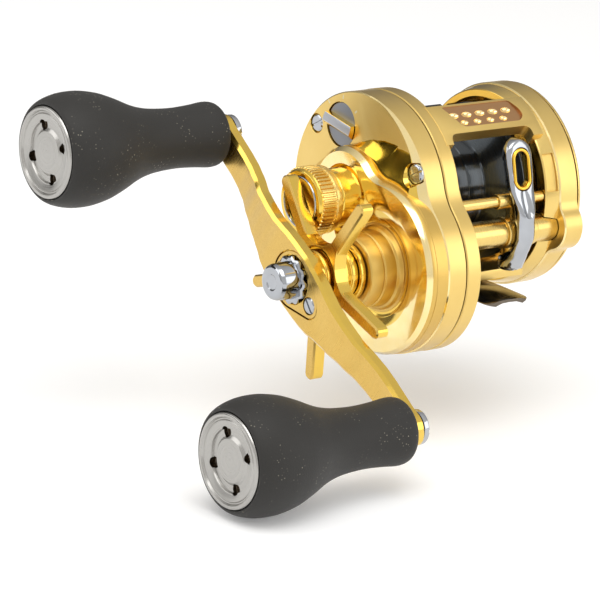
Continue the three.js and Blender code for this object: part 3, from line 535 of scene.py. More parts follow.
def brass(name="brass"):
    m = Nodes(name)
    marks = m.noise(m.turned(DRIVE, 8.0, 8.0, 0.3), 1.0, 2.0)
    return metal(m, marks, (colour(196, 160, 84), colour(176, 140, 68)), (0.22, 0.36), (marks, 0.1, 0.02))


def carbon(name="carbon"):
    m = Nodes(name)
    weave = m.add("ShaderNodeTexChecker", {"Vector": m.position(), "Scale": 1.6})
    m.set(
        Base_Color=m.mix(weave.outputs["Fac"], colour(34, 34, 35), colour(52, 52, 54)),
        Roughness=m.remap(weave.outputs["Fac"], 0.45, 0.6),
        Normal=m.bump(weave.outputs["Fac"], 0.2, 0.03),
    )
    return m.material


def painted_metal(name, tone, rough):
    """A fine-grained metallic finish for small trim."""
    m = Nodes(name)
    grain = m.noise(m.position(), 8.0, 3.0)
    return metal(m, grain, darker(tone, 0.92), rough, (grain, 0.05, 0.02), metallic=0.85)


LOOK = {
    "frame_gold": anodised("frame_gold"),
    "gear_gold": anodised("gear_gold", DRIVE, tones=DEEP_TONES),
    "arm_gold": anodised("arm_gold", DRIVE, (0.24, 0.32), 0.03, DEEP_TONES),
    "worm_gold": anodised("worm_gold", WORM, (0.22, 0.3), 0.01),
    "cast_gold": anodised("cast_gold", SPOOL, (0.2, 0.28), 0.03),
    "polished": polished_gold(),
    "blasted": blasted_gold(),
    "bronze": bronze_flat(),
    "chrome": chrome(),
    "shaft_steel": ground_steel("shaft_steel", SPOOL),
    "cap_lower": ground_steel("cap_steel_lower", KNOBS["lower"], (184, 182, 178), (0.18, 0.34)),
    "cap_upper": ground_steel("cap_steel_upper", KNOBS["upper"], (184, 182, 178), (0.18, 0.34)),
    "gunmetal": gunmetal(),
    "dark_steel": dark_steel(),
    "foam": foam(),
    "plastic": black_plastic(),
    "brass": brass(),
    "carbon": carbon(),
    "silver": painted_metal("dial_silver", (206, 208, 214), (0.26, 0.36)),
    "dial_grey": painted_metal("dial_grey", (146, 149, 156), (0.34, 0.46)),
    # The chamfers' gold is paler, close to white: a painted highlight for the bright reflection they show.
    # Their low roughness is the real cut polish.
    "cut_chamfer_painted_highlight": polished_gold("cut_chamfer_painted_highlight", SPOOL, (252, 232, 176), (250, 224, 150)),
    "mark": painted_metal("mark", (236, 226, 190), (0.4, 0.5)),
    "dimple": polished_gold("dimple_gold", SPOOL, (255, 232, 178), (250, 214, 140)),
    "insert_gold": polished_gold("insert_gold", SPOOL, (240, 194, 70), (232, 184, 60)),
    "scoop": polished_gold("scoop_gold", DRIVE, (236, 188, 44), (240, 196, 70)),
    "palm_cone": anodised("palm_cone", SPOOL, (0.16, 0.24), 0.03),
    "palm_face": polished_gold("palm_face", SPOOL, (226, 178, 70), (216, 168, 60)),
    "palm_satin": anodised("palm_satin", SPOOL, (0.2, 0.3)),
    "bar_face": anodised("bar_face", SPOOL, (0.26, 0.34), 0.03),
}


def dress(piece, *looks):
    piece.data.materials.clear()
    for look in looks:
        piece.data.materials.append(LOOK[look])
    return piece


def dressed(look, *pieces):
    return [dress(piece, look) for piece in pieces]


def cut_with(piece, look, *tools):
    """Cuts tools out of a piece; the new faces take the given look."""
    return cut(piece, *dressed(look, *tools))


def join_with(piece, look, *parts):
    return join(piece, *dressed(look, *parts))


def move(piece, y, z):
    return transform(piece, Matrix.Translation((0, y, z)))


def paint(piece, slot, chosen):
    """Gives material slot number `slot` to the faces that `chosen` picks by centre and normal."""
    for face in piece.data.polygons:
        if chosen(face.center, face.normal):
            face.material_index = slot


def place(piece, body, slot, *nodes):
    """Puts a finished piece into the CAD frame, in metres, on its body."""
    transform(piece, Matrix.Diagonal((MM, MM, MM, 1)) @ Matrix.Translation((0, 0, SPOOL_HEIGHT)))
    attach(piece, body)
    if nodes:
        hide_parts(*nodes)
    return piece


# ---------------------------------------------------------------- dimensions shared by the pieces

WALL_START, WALL_END = 15.6, 20.2
COVER_START, COVER_FACE = 20.5, 28.1
BOSS_SEAM, BOSS_SHOULDER, BOSS_FACE = 30.0, 31.5, 33.0
BOSS_RADIUS = 23.45
WALL_RADIUS, GEARBOX_RADIUS = 27.7, 23.75
WAIST_FILLET = 16.0
PALM_CENTRE = (0.6, -1.6)
PALM_RADIUS, PALM_HOLE = 27.9, 22.8
PALM_OUTER, PALM_LOBE, PALM_INNER = -25.4, -19.0, -15.0
ROD = (25.0, 1.1)
GUIDE_X = -5.6
ARM_TURN = math.degrees(ARM_ANGLE)
ARM_LENGTH = math.hypot(KNOBS["lower"][0] - DRIVE[0], KNOBS["lower"][1] - DRIVE[1])
BAR_NORMAL = 53.0
TAB_RADIUS, TAB_ANGLE = 23.2, 152


def polar(radius, degrees, centre=SPOOL):
    angle = math.radians(degrees)
    return (centre[0] + radius * math.cos(angle), centre[1] + radius * math.sin(angle))


def inset_by(outline, amount):
    """Moves each corner of a closed outline inwards by its own amount, given as a function of (y, z)."""
    full = inset(outline, 1.0)
    moved = []
    for (y, z), (inner_y, inner_z) in zip(outline, full):
        share = amount(y, z)
        moved.append((y + (inner_y - y) * share, z + (inner_z - z) * share))
    return moved


def body_outline(grow=0.0):
    return pair_outline(SPOOL, WALL_RADIUS + grow, DRIVE, GEARBOX_RADIUS + grow, WAIST_FILLET - grow)


def rod(name, radius, x0, x1, axis=SPOOL, segments=48, edge=0.1):
    return revolve(name, [(x0, 0), (x0, radius), (x1, radius), (x1, 0)], axis, segments, edge)


def ring(name, outer, inner, x0, x1, axis=SPOOL, segments=72, edge=0.12):
    return revolve(name, [(x0, inner), (x0, outer), (x1, outer), (x1, inner)], axis, segments, edge)


def upright_rod(name, profile, x, y, segments=40, edge=0.1):
    """A turned body standing up, from (height, radius) points."""
    piece = revolve(name, profile, SPOOL, segments, edge)
    return transform(piece, Matrix.Translation((x, y, 0)) @ Matrix.Rotation(math.radians(-90), 4, "Y"))


def radial_prism(name, outline, inner, outer, facing):
    """An outline of (x, sideways) points pushed outwards along a direction given in degrees."""
    sections = [[(x, reach, side) for x, side in outline] for reach in (inner, outer)]
    return spin(loft(name, sections), facing)


# ---------------------------------------------------------------- frame

BAND_RADIUS, BAND_INNER = 27.9, 24.4
WINDOW_TOP = -4.0
FLAT_REACH = 27.25
WINDOW = [(-13.6, -22), (-13.6, WINDOW_TOP), (14.0, WINDOW_TOP), (14.6, -22)]
FLAT = [(11.6, 5.2), (8.9, -1.2), (7.6, -2.2), (-11.4, -2.2), (-13.2, -0.6), (-13.2, 1.6), (-11.6, 5.2)]
# Height on the flat and radii of each dimple, for the upper and the lower row in turn.
DIMPLES, DIMPLE_STEP = 9, 2.25
DIMPLE_ROWS = [(2.1, (1.75, 0.85, 1.0)), (-0.45, (1.35, 0.85, 0.85))]
BAR_START, BAR_END = -16.0, 16.2
FOOT_SCREW_REACH = 16


def front_bar():
    """The bar over the line window: a strip of the frame's round band with a dimpled flat milled on it."""
    band = dress(ring("band", BAND_RADIUS, BAND_INNER, -17.0, 16.6, segments=160), "frame_gold")
    strip = [(-20, WINDOW_TOP - 3.0), (20, WINDOW_TOP - 3.0), (20, 6.0), (-20, 6.0)]
    opening = radial_prism("opening", soften(WINDOW, 2.4, 8, closed=True), 15, 35, BAR_NORMAL)
    keep_inside(band, radial_prism("sector", strip, 20, 32, BAR_NORMAL))
    cut_with(band, "frame_gold", opening)
    milled = radial_prism("milled", soften(FLAT, 0.9, 5, closed=True), FLAT_REACH, 31, BAR_NORMAL)
    cut_with(band, "bronze", milled)
    for i in range(DIMPLES):
        height, radii = DIMPLE_ROWS[i % 2]
        centre = (9.0 - DIMPLE_STEP * i, FLAT_REACH + 0.3, height)
        cut_with(band, "dimple", spin(ball("dimple", centre, radii), BAR_NORMAL))
    return band


def ball(name, centre, radii, segments=32):
    """An ellipsoid about an axis along X, used only as a cutter."""
    profile = []
    for i in range(segments // 2 + 1):
        angle = math.pi * i / (segments // 2)
        profile.append((-math.cos(angle), math.sin(angle) if 0 < i < segments // 2 else 0))
    piece = revolve(name, profile, SPOOL, segments, edge=0)
    return transform(piece, Matrix.Translation(centre) @ Matrix.Diagonal((*radii, 1)))


def palm_ring():
    """The palm-side ring with its conical inner face, level-wind lobe and milled front pocket."""
    base_outline = pair_outline(PALM_CENTRE, PALM_RADIUS, WORM, 6.7, 5.5)
    body = prism("palm_body", base_outline, PALM_OUTER, PALM_LOBE, 0.35)
    dress(body, "frame_gold", "cut_chamfer_painted_highlight")
    # Painted highlight: the chamfer beside the lobe takes the paler chamfer gold.
    paint(body, 1, lambda c, n: c.x > PALM_LOBE - 0.3 and 0.2 < n.x < 0.95)
    lip = dress(revolve("palm_lip", [
        (PALM_LOBE - 1, 0), (PALM_LOBE - 1, PALM_RADIUS - 0.3), (PALM_LOBE + 0.1, PALM_RADIUS - 0.45),
        (PALM_INNER - 0.25, 26.5), (PALM_INNER, 26.25), (PALM_INNER, 0),
    ], PALM_CENTRE, 128), "palm_cone", "palm_face")
    paint(lip, 1, lambda c, n: n.x > 0.9)
    join(body, lip)
    hole = rod("palm_hole", PALM_HOLE, PALM_OUTER - 1, PALM_INNER + 1, segments=128)
    pocket_profile = [(-18.6, 26.75), (-15.5, 25.95), (-15.5, 30), (-18.6, 30)]
    pocket = dress(revolve("pocket", pocket_profile, PALM_CENTRE, 128), "blasted")
    sector = [PALM_CENTRE] + arc(PALM_CENTRE, 32, 9, 33, 12)
    keep_inside(pocket, dress(prism("sector", sector, -20, -14, 0), "blasted"))
    cut(body, dress(hole, "polished"), pocket)
    return body


def make_frame():
    body = dress(prism("frame_body", body_outline(0.1), WALL_START, WALL_END, 0.3), "frame_gold")
    rear = arc(SPOOL, 27.2, 168, 196, 14) + arc(SPOOL, 22.7, 196, 168, 14)
    deck = [(19.0, -19.9), (19.0, -22.6), (14.0, -23.1), (-14.0, -23.1), (-19.0, -21.6), (-19.0, -18.0)]
    deck += arc(SPOOL, 22.8, 231, 298, 24) + [(13.2, -19.9)]
    bars = [
        prism("rear_bar", soften(rear, 0.4, 2, closed=True), BAR_START, BAR_END, 0.1),
        prism("deck", soften(deck, 0.35, 2, closed=True), BAR_START, BAR_END, 0.1),
    ]
    join(body, palm_ring(), front_bar(), *dressed("frame_gold", *bars))
    cut_with(body, "frame_gold", *frame_cutters())
    return place(shade(body), "frame", "gold", "frame")


def frame_cutters():
    """Bearing and shaft seats, the thumb bar's slot, and the screw holes."""
    tab_y, tab_z = polar(TAB_RADIUS, TAB_ANGLE)
    push_y, push_z = polar(3.5, 235)
    thumb_slot = slot_outline((tab_y, tab_z), (tab_y + push_y, tab_z + push_z), 1.5)
    through = (WALL_START - 1, WALL_END + 1)
    cutters = [
        rod("c1", 5.05, *through),
        rod("c2", 6.05, *through, DRIVE),
        rod("c3", 3.95, *through, WORM),
        rod("c4", 1.7, WALL_START - 1, WALL_END - 1.5, ROD),
        rod("c5", 3.95, PALM_LOBE - 3, PALM_INNER + 1, WORM),
        rod("c6", 1.7, PALM_LOBE - 2.5, PALM_INNER + 1, ROD),
        prism("c7", thumb_slot, *through, 0.01),
    ]
    cutters += [rod("c8", 1.45, WALL_START + 0.8, WALL_END + 1, place_at) for place_at, _ in COVER_SCREWS]
    screw_hole = [(-25, 0), (-25, 1.25), (-21, 1.25), (-21, 0)]
    return cutters + [upright_rod("c9", screw_hole, 0, y) for y in (-FOOT_SCREW_REACH, FOOT_SCREW_REACH)]


def slot_outline(start, end, radius, steps=10):
    angle = math.degrees(math.atan2(end[1] - start[1], end[0] - start[0]))
    points = arc(start, radius, angle + 90, angle + 270, steps) + [polar(radius, angle + 270, start)]
    points += arc(end, radius, angle - 90, angle + 90, steps) + [polar(radius, angle + 90, end)]
    return points


# ---------------------------------------------------------------- gear-side cover

COVER_SCREWS = [((-19.4, 15.4), 2.4), ((23.1, 11.0), 2.7), ((-19.6, -14.2), 2.4)]
CHAMFER_FACING = -10
# Turned profiles, as (x, radius), and the (y, z) outline of the heel that joins the two bosses.
NOSE = [
    (30.0, 0), (30.0, 12.0), (31.5, 12.0), (31.5, 11.3), (32.6, 10.9), (BOSS_FACE, 10.3), (36.4, 10.1),
    (36.6, 9.8), (36.9, 9.8), (37.1, 10.0), (40.6, 9.5), (41.0, 9.1), (41.0, 0),
]
CAST_BOSS = [
    (30.5, 0), (30.5, 9.6), (31.5, 9.2), (32.3, 8.5), (33.6, 8.15), (35.4, 8.0), (38.6, 8.0), (39.1, 7.7),
    (39.1, 6.6), (43.6, 6.6), (43.6, 0),
]
HEEL = [(-6.0, 11.6), (-15.5, 3.9), (-17.5, -2.0), (-15.0, -12.0), (-6.0, -21.0), (8.0, -21.0), (5.0, 0.0)]
LOCK = (-10.6, -12.8)


def chamfer_width(y, z):
    """The cover's cut rim chamfer, coloured a paler gold as a painted highlight, is widest at the front and
    runs out over the top.
    """
    heading = math.degrees(math.atan2(z, y)) - CHAMFER_FACING
    return max(0.3, 2.3 * math.cos(math.radians(heading))) if math.hypot(y, z) > 26.5 or y > 18 else 0.3


def smooth_step(value, low, high):
    share = min(max((value - low) / (high - low), 0.0), 1.0)
    return share * share * (3 - 2 * share)


# Upper edge of the polished scoop on the flat cover face.
SCOOP_EDGE = [
    (-3.0, 13.5), (0.0, 14.9), (5.8, 17.3), (11.4, 18.6), (17.0, 18.8), (24.0, 18.4), (60.0, 18.0),
]


# The scoop stops this far inside the cover's cone.
SCOOP_TRIM = 0.06


def cover_scoop():
    """The hollow polished skirt that rises from the cover's flat face to the boss seam."""
    seam = pair_outline(SPOOL, 13.5, DRIVE, BOSS_RADIUS - 0.05, 9.0)
    outward = inset(seam, -1.0)
    edge = []
    for (y, z), (out_y, out_z) in zip(seam, outward):
        heading = Vector((out_y - y, out_z - z)).normalized()
        rising = smooth_step(y, -3.5, 1.0) * smooth_step(z, -16.0, -4.0)
        reach = 0.25
        while reach < 14 and z + reach * heading.y < along(SCOOP_EDGE, y + reach * heading.x):
            reach += 0.1
        reach = 0.25 + (reach - 0.25) * rising
        edge.append((y + reach * heading.x, z + reach * heading.y))
    sections = [at(COVER_FACE - 1.2, edge)]
    for step in range(11):
        share = step / 10
        rise = -0.1 + 2.0 * share ** 2.0
        outline = [
            (y1 + (y0 - y1) * share, z1 + (z0 - z1) * share) for (y0, z0), (y1, z1) in zip(seam, edge)
        ]
        sections.append(at(COVER_FACE + rise, outline))
    return loft("scoop", sections, sharp=50)


def make_cover():
    base = cover_shell()
    cast_boss = revolve("cast_boss", CAST_BOSS, SPOOL, 96, edge=0.25)
    nose = revolve("nose", NOSE, DRIVE, 96, edge=0.1)
    join(base, dress(nose, "gear_gold"), dress(cast_boss, "polished"))
    cut_with(base, "gear_gold", *cover_hollows())
    posts = [rod("post", 3.0, COVER_START, 27.0, place_at) for place_at, _ in COVER_SCREWS]
    fill = loft("fill", [at(COVER_START, body_outline(-0.4)), at(27.0, body_outline(-0.4))])
    for post in posts:
        keep_inside(post, copy_of(fill))
    bpy.data.objects.remove(fill)
    pins = [rod("pin", 0.8, 27.4, 30.8, (y, 0.0)) for y in (-6.2, 6.2)]
    join_with(base, "gear_gold", *posts, *pins)
    cut_with(base, "polished", *cover_seats())
    join_with(base, "mark", *[mark("mark", turn, 7.1, 0.5) for turn in (38, 88, 138)])
    return place(shade(base), "frame", "gold", "handle_side_plate")


def cover_shell():
    """The cover's outside: its cut rim chamfer in a paler gold as a painted highlight, scoop, boss, heel
    and the pocket round the nose.
    """
    outline = body_outline()
    narrow = inset_by(outline, chamfer_width)
    cone = [(COVER_FACE - 0.85 * chamfer_width(y, z), y, z) for y, z in outline]
    base = loft("cover_body", [
        at(COVER_START, inset(outline, 0.25)), at(COVER_START + 0.25, outline), cone,
        at(COVER_FACE, narrow),
    ])
    dress(base, "frame_gold", "cut_chamfer_painted_highlight")
    # Painted highlight: the rim chamfer takes the paler chamfer gold.
    paint(base, 1, lambda c, n: COVER_FACE - 2.5 < c.x < COVER_FACE - 0.01 and n.x > 0.2)

    scoop = dress(cover_scoop(), "scoop")
    deeper = inset_by(outline, lambda y, z: chamfer_width(y, z) + 2.4)
    trimmed = inset(outline, SCOOP_TRIM)
    shoulder = [(x - SCOOP_TRIM, y, z) for (x, _, _), (y, z) in zip(cone, trimmed)]
    limit = loft("limit", [
        at(COVER_START, trimmed), shoulder, at(COVER_FACE, inset(narrow, SCOOP_TRIM)),
        at(COVER_FACE + 2.8, deeper),
    ])
    keep_inside(scoop, dress(limit, "polished"))

    low = pair_outline(SPOOL, 13.5, DRIVE, BOSS_RADIUS, 9.0)
    high = pair_outline(SPOOL, 12.2, DRIVE, BOSS_RADIUS - 0.95, 10.0)
    stepped = inset(low, 0.12)
    boss = loft("boss", [
        at(26.5, low), at(BOSS_SEAM - 0.05, low), at(BOSS_SEAM + 0.05, stepped), at(BOSS_SHOULDER, stepped),
        at(BOSS_FACE, high),
    ])
    dress(boss, "gear_gold", "cut_chamfer_painted_highlight")
    # Painted highlight: the boss chamfer takes the paler chamfer gold.
    paint(boss, 1, lambda c, n: BOSS_SHOULDER < c.x < BOSS_FACE and n.x > 0.3)
    bridge = soften(HEEL, 1.2, 5, closed=True)
    heel = loft("heel", [at(26.5, bridge), at(32.2, bridge), at(BOSS_FACE, inset(bridge, 0.7))])
    dress(heel, "gear_gold", "polished")
    paint(heel, 1, lambda c, n: c.x > 32.2 and 0.2 < n.x < 0.95)
    join(base, scoop, boss, heel)

    wide = pair_outline(SPOOL, 9.0, DRIVE, 16.1, 9.0)
    deep = pair_outline(SPOOL, 8.3, DRIVE, 12.6, 8.0)
    pocket = loft("pocket", [
        at(31.3, deep), at(31.35, deep), at(BOSS_FACE + 0.05, wide), at(BOSS_FACE + 3, inset(wide, -2.5)),
    ])
    return cut_with(base, "polished", pocket)


def cover_hollows():
    """The room for the gears, and the bores for the shafts."""
    inner = body_outline(-1.8)
    return [
        loft("i1", [at(COVER_START - 1, inner), at(26.0, inner), at(26.4, body_outline(-2.2))]),
        rod("i2", 20.4, 25.5, 29.6, DRIVE),
        rod("i3", 10.5, 26.0, 30.6),
        rod("i4", 8.2, 29.0, 40.0, DRIVE),
        rod("i5", 5.5, 39.0, 42.0, DRIVE),
        rod("i6", 4.05, 30.0, 42.4),
        rod("i7", 2.0, 42.0, 44.0),
    ]


def cover_seats():
    """Countersinks and holes for the screws, the dial's seat and the groove round the nose."""
    seats = []
    for place_at, head in COVER_SCREWS:
        near, far = head + 0.25, head + 0.9
        profile = [(26.8, 0), (26.8, near), (27.9, near), (29.6, far), (33, far), (33, 0)]
        seats.append(revolve("seat", profile, place_at, 48, edge=0.05))
    seats += [rod("shank", 1.45, COVER_START - 1, 28, place_at) for place_at, _ in COVER_SCREWS]
    seats.append(rod("dial_seat", 6.2, 26.9, 33, DIAL, segments=72))
    seats.append(rod("dial_hole", 1.6, 25.0, 27.5, DIAL))
    seats.append(ring("groove", 13.4, 13.2, 31.2, 33.0, DRIVE, 96, 0.01))
    return seats


def copy_of(piece):
    twin = piece.copy()
    twin.data = piece.data.copy()
    bpy.context.scene.collection.objects.link(twin)
    return twin


def mark(name, degrees, radius, width):
    """A short raised tick beside the dial."""
    foot, tip = width * 4, width * 3.2
    outline = [
        polar(radius, degrees - foot), polar(radius + 1.1, degrees - tip),
        polar(radius + 1.1, degrees + tip), polar(radius, degrees + foot),
    ]
    outline = [(DIAL[0] + y, DIAL[1] + z) for y, z in outline]
    return prism(name, outline, COVER_FACE - 0.3, COVER_FACE + 0.02, 0.01)


def slotted_screw(name, place_at, radius, top, body, node, height=1.0, shank=1.2, depth=9.0, turn=30,
                  slot="chrome", faces_palm=False):
    neck = top - height
    screw = revolve(name, [
        (neck - depth, 0), (neck - depth, shank), (neck, shank), (neck, radius), (top - 0.32, radius),
        (top, radius - 0.45), (top, 0),
    ], place_at, 48, edge=0.12)
    groove = block("groove", top - 0.5, top + 1, -radius - 1, radius + 1, -0.33, 0.33)
    cut_with(dress(screw, "chrome"), "chrome", move(spin(groove, turn), *place_at))
    bevel(screw, 0.06, 1)
    if faces_palm:
        mirror_x(screw)
    return place(screw, body, slot, node)


def make_palm_cover():
    shell = dress(revolve("palm_cover", [
        (-31.2, 0), (-31.2, 6.6), (-30.9, 6.9), (-30.9, 7.5), (-31.15, 7.8), (-31.0, 13.0), (-30.6, 17.4),
        (-30.2, 17.7), (-30.2, 18.4), (-30.35, 18.7), (-30.0, 20.8), (-29.2, 23.4), (-28.2, 24.7),
        (-27.2, 25.2), (-25.7, 25.2), (-25.7, 21.8), (-23.4, 21.8), (-23.4, 20.6), (-27.3, 20.6),
        (-28.6, 15.0), (-28.8, 12.6), (-21.9, 12.6), (-21.9, 11.2), (-29.2, 11.2), (-29.2, 7.0),
        (-22.6, 7.0), (-22.6, 5.2), (-25.9, 5.2), (-25.9, 2.0), (-27.5, 2.0), (-27.5, 0),
    ], SPOOL, 144, edge=0.2), "palm_satin")
    rim = revolve("palm_rim", [
        (-27.5, 24.0), (-27.4, 25.6), (-26.9, 27.0), (-26.4, PALM_RADIUS - 0.25),
        (-25.7, PALM_RADIUS - 0.2), (-25.7, 24.0),
    ], PALM_CENTRE, 144, edge=0.15)
    join_with(shell, "palm_satin", rim, rod("lock_post", 3.4, -29.4, -24.4, LOCK))
    bores = [rod("lock_bore", 1.7, -33, -20, LOCK), rod("lock_sink", 2.95, -33, -29.0, LOCK)]
    cut_with(shell, "polished", *bores)
    return place(shade(shell), "frame", "gold", "palm_side_plate")


def make_foot():
    """The arched foot: a tapering plate with rounded ends, hollow along the underside."""
    steps = 56
    length, half, rounding = 32.6, 7.6, 3.2
    sections = []
    for i in range(steps + 1):
        y = -length + 2 * length * i / steps
        end = max(0.0, (abs(y) - (length - rounding)) / rounding)
        width = half * (1 - 0.22 * end ** 2.5) if end else half
        droop = smooth_step(abs(y), 20.0, length)
        top, rim = -23.2 - 0.8 * droop, -24.35 - 0.25 * droop
        outline = [
            (-width, rim), (-0.62 * width, top - 0.12), (0, top), (0.62 * width, top - 0.12), (width, rim),
            (width - 0.1, rim - 0.35), (0.8 * width, -25.55), (0.42 * width, -24.85), (0, -24.75),
            (-0.42 * width, -24.85), (-0.8 * width, -25.55), (-width + 0.1, rim - 0.35),
        ]
        sections.append([(x, y, z) for x, z in outline])
    plate = dress(loft("foot_plate", sections, 24), "dark_steel")
    sink = [(-28, 0), (-28, 2.35), (-24.0, 2.35), (-24.0, 1.25), (-20, 1.25), (-20, 0)]
    holes = [upright_rod("h", sink, 0, y, edge=0.02) for y in (-FOOT_SCREW_REACH, FOOT_SCREW_REACH)]
    cut_with(plate, "dark_steel", *holes)
    bevel(plate, 0.22, 2, 34)
    return place(plate, "frame", "foot_steel", "foot")


def make_foot_screws():
    profile = [(-24.7, 0), (-24.7, 2.15), (-24.05, 2.15), (-24.05, 1.1), (-21.6, 1.1), (-21.6, 0)]
    for node, y in (("foot_screw_rear", -FOOT_SCREW_REACH), ("foot_screw_front", FOOT_SCREW_REACH)):
        screw = dress(upright_rod(node + "_fine", profile, 0, y), "shaft_steel")
        cut_with(screw, "shaft_steel", block("s", -0.35, 0.35, y - 3, y + 3, -25.5, -24.4))
        place(shade(screw), "frame", "steel", node)


# ---------------------------------------------------------------- spool and level wind

def make_spool():
    rim, half = 21.5, 13.0
    lip, foot = rim - 2.0, rim - 3.2
    spool = revolve("spool_body", [
        (-half, 3.6), (-half, foot), (-half + 0.4, rim - 2.6), (-half, lip), (-half, rim),
        (-half + 1.1, rim), (-half + 1.6, rim - 1.6), (-5.9, 13.6), (-5.5, 13.0), (-4.9, 12.9),
        (-0.2, 12.9), (0, 12.7), (0.2, 12.9), (4.9, 12.9), (5.5, 13.0), (5.9, 13.6),
        (half - 1.6, rim - 1.6), (half - 1.1, rim), (half, rim), (half, lip), (half - 0.4, rim - 2.6),
        (half, foot), (half, 3.6),
        (7.0, 3.6), (7.0, 1.4), (-7.0, 1.4), (-7.0, 3.6),
    ], SPOOL, 160, edge=0.18, sharp=24)
    return place(dress(spool, "gunmetal"), "spool", "gunmetal", "spool")


def make_level_wind():
    y, z = WORM
    tube = dress(ring("worm_tube_fine", 3.75, 2.9, -21.8, 19.8, WORM, 64, 0.2), "worm_gold")
    cut_with(tube, "worm_gold", block("s", -15.0, 13.5, y - 1.1, y + 1.1, z - 5, z))
    place(shade(tube), "frame", "gold", "worm_tube")
    guide = dress(rod("guide_rod_fine", 1.5, -21.3, 18.4, ROD, 40, 0.2), "worm_gold")
    place(guide, "frame", "gold", "guide_rod")

    start, end = -11.6, -1.6
    barrel = revolve("carriage_body", [(start, 0), (start, 4.35), (end, 4.35), (end, 0)], WORM, 64, 0.3)
    sleeve = rod("sleeve", 2.1, start, 1.0, ROD, 40, 0.25)
    web = block("web", start + 1, end - 1, y + 0.4, y + 2.4, -5.0, 0.2)
    seat = upright_rod("pawl_seat", [(-14.8, 0), (-14.8, 2.3), (-8.0, 2.3), (-8.0, 0)], GUIDE_X, y)
    join_with(dress(barrel, "worm_gold"), "worm_gold", sleeve, web, seat)
    bores = [
        upright_rod("b1", [(-16, 0), (-16, 1.42), (-8, 1.42), (-8, 0)], GUIDE_X, y),
        rod("b2", 3.85, start - 1, end + 1, WORM, 64),
        rod("b3", 1.6, -14, 2, ROD),
    ]
    cut_with(barrel, "worm_gold", *bores)
    place(shade(barrel), "carriage", "gold", "guide_carriage")

    profile = [(-18.0, 0), (-18.0, 2.6), (-17.5, 3.1), (-17.35, 2.45), (-15.6, 2.45), (-15.6, 0)]
    cap = dress(upright_rod("pawl_cap_fine", profile, GUIDE_X, y), "chrome")
    cut_with(cap, "chrome", block("s", GUIDE_X - 0.4, GUIDE_X + 0.4, y - 4, y + 4, -18.5, -17.6))
    place(shade(cap), "carriage", "chrome", "pawl_cap")


# Line guide: heights with the front and back line seen from the side, and the half width from the front.
GUIDE_FRONT = [
    (-17.3, 28.8), (-13.0, 30.6), (-8.0, 31.9), (-2.0, 31.9), (5.3, 28.4), (15.5, 25.9), (19.0, 24.2),
]
GUIDE_BACK = [
    (-17.3, 21.9), (-14.9, 21.9), (-12.9, 24.6), (-11.8, 27.4), (-8.6, 29.6), (-5.4, 29.4), (-3.6, 27.9),
    (2.4, 27.5), (6.0, 24.9), (15.5, 22.5), (19.0, 21.8),
]
GUIDE_WIDTH = [(-17.3, 3.2), (-15.0, 3.4), (-13.0, 2.8), (-1.0, 2.95), (5.0, 4.1), (13.0, 4.5)]
GUIDE_TOP, GUIDE_TOP_RADIUS, EYE_MIDDLE = 13.0, 4.5, 9.9
GUIDE_HEIGHTS = [
    -17.3, -17.1, -16.6, -15.8, -14.9, -14.0, -13.0, -12.0, -11.0, -9.8, -8.6, -7.4, -6.2, -5.0, -3.8, -2.4,
    -1.0, 0.6, 2.4, 4.2, 6.0, 8.0, 10.0, 11.5, 13.0, 14.2, 15.2, 16.0, 16.7, 17.15, 17.38, 17.48,
]
# How far the lowest section is drawn in: its squareness, width and depth.
GUIDE_FOOT = (0.55, 0.9, 0.94)


def along(table, value):
    """Reads a table of (key, value) pairs, easing between its entries."""
    for (k0, v0), (k1, v1) in zip(table, table[1:]):
        if value <= k1:
            share = min(max((value - k0) / (k1 - k0), 0.0), 1.0)
            return v0 + (v1 - v0) * (0.5 * share + 0.5 * share * share * (3 - 2 * share))
    return table[-1][1]


def guide_half_width(z):
    if z <= GUIDE_TOP:
        return along(GUIDE_WIDTH, z)
    return math.sqrt(max(GUIDE_TOP_RADIUS ** 2 - (z - GUIDE_TOP) ** 2, 0.02))


def squircle(half_width, half_depth, steps=36, power=0.62):
    points = []
    for i in range(steps):
        angle = 2 * math.pi * i / steps
        c, s = math.cos(angle), math.sin(angle)
        across = math.copysign(abs(c) ** power, c)
        deep = math.copysign(abs(s) ** power, s)
        points.append((half_width * across, half_depth * deep))
    return points


def make_line_guide():
    sections = []
    for i, z in enumerate(GUIDE_HEIGHTS):
        square, narrow, thin = GUIDE_FOOT if i == 0 else (1, 1, 1)
        front, back = along(GUIDE_FRONT, z), along(GUIDE_BACK, z)
        width = guide_half_width(z) * narrow
        depth = max((front - back) / 2 * thin, 0.8)
        middle = (front + back) / 2
        power = 0.55 + 0.4 * smooth_step(z, 2.0, -4.0) * square
        sections.append([(GUIDE_X + x, middle + y, z) for x, y in squircle(width, depth, 40, power)])
    guide = dress(loft("line_guide_body", sections, 40), "chrome")
    barrel_space = rod("g1", 4.65, -13, 0, WORM, 64)
    pawl_space = upright_rod("g2", [(-19, 0), (-19, 2.6), (-8, 2.6), (-8, 0)], GUIDE_X, WORM[0])
    eye = along_y_slot("g3", 3.25, 5.75, 18, 36)
    hollow = ball("g4", (0, 0, 0), (2.1, 1.5, 5.6))
    tilt = Matrix.Rotation(math.radians(24), 4, "X")
    transform(hollow, Matrix.Translation((GUIDE_X, 31.0, 1.6)) @ tilt)
    cut_with(guide, "chrome", hollow, barrel_space, pawl_space, eye)
    bevel(guide, 0.3, 3, 40)
    place(guide, "carriage", "chrome", "line_guide")
    make_guide_insert()


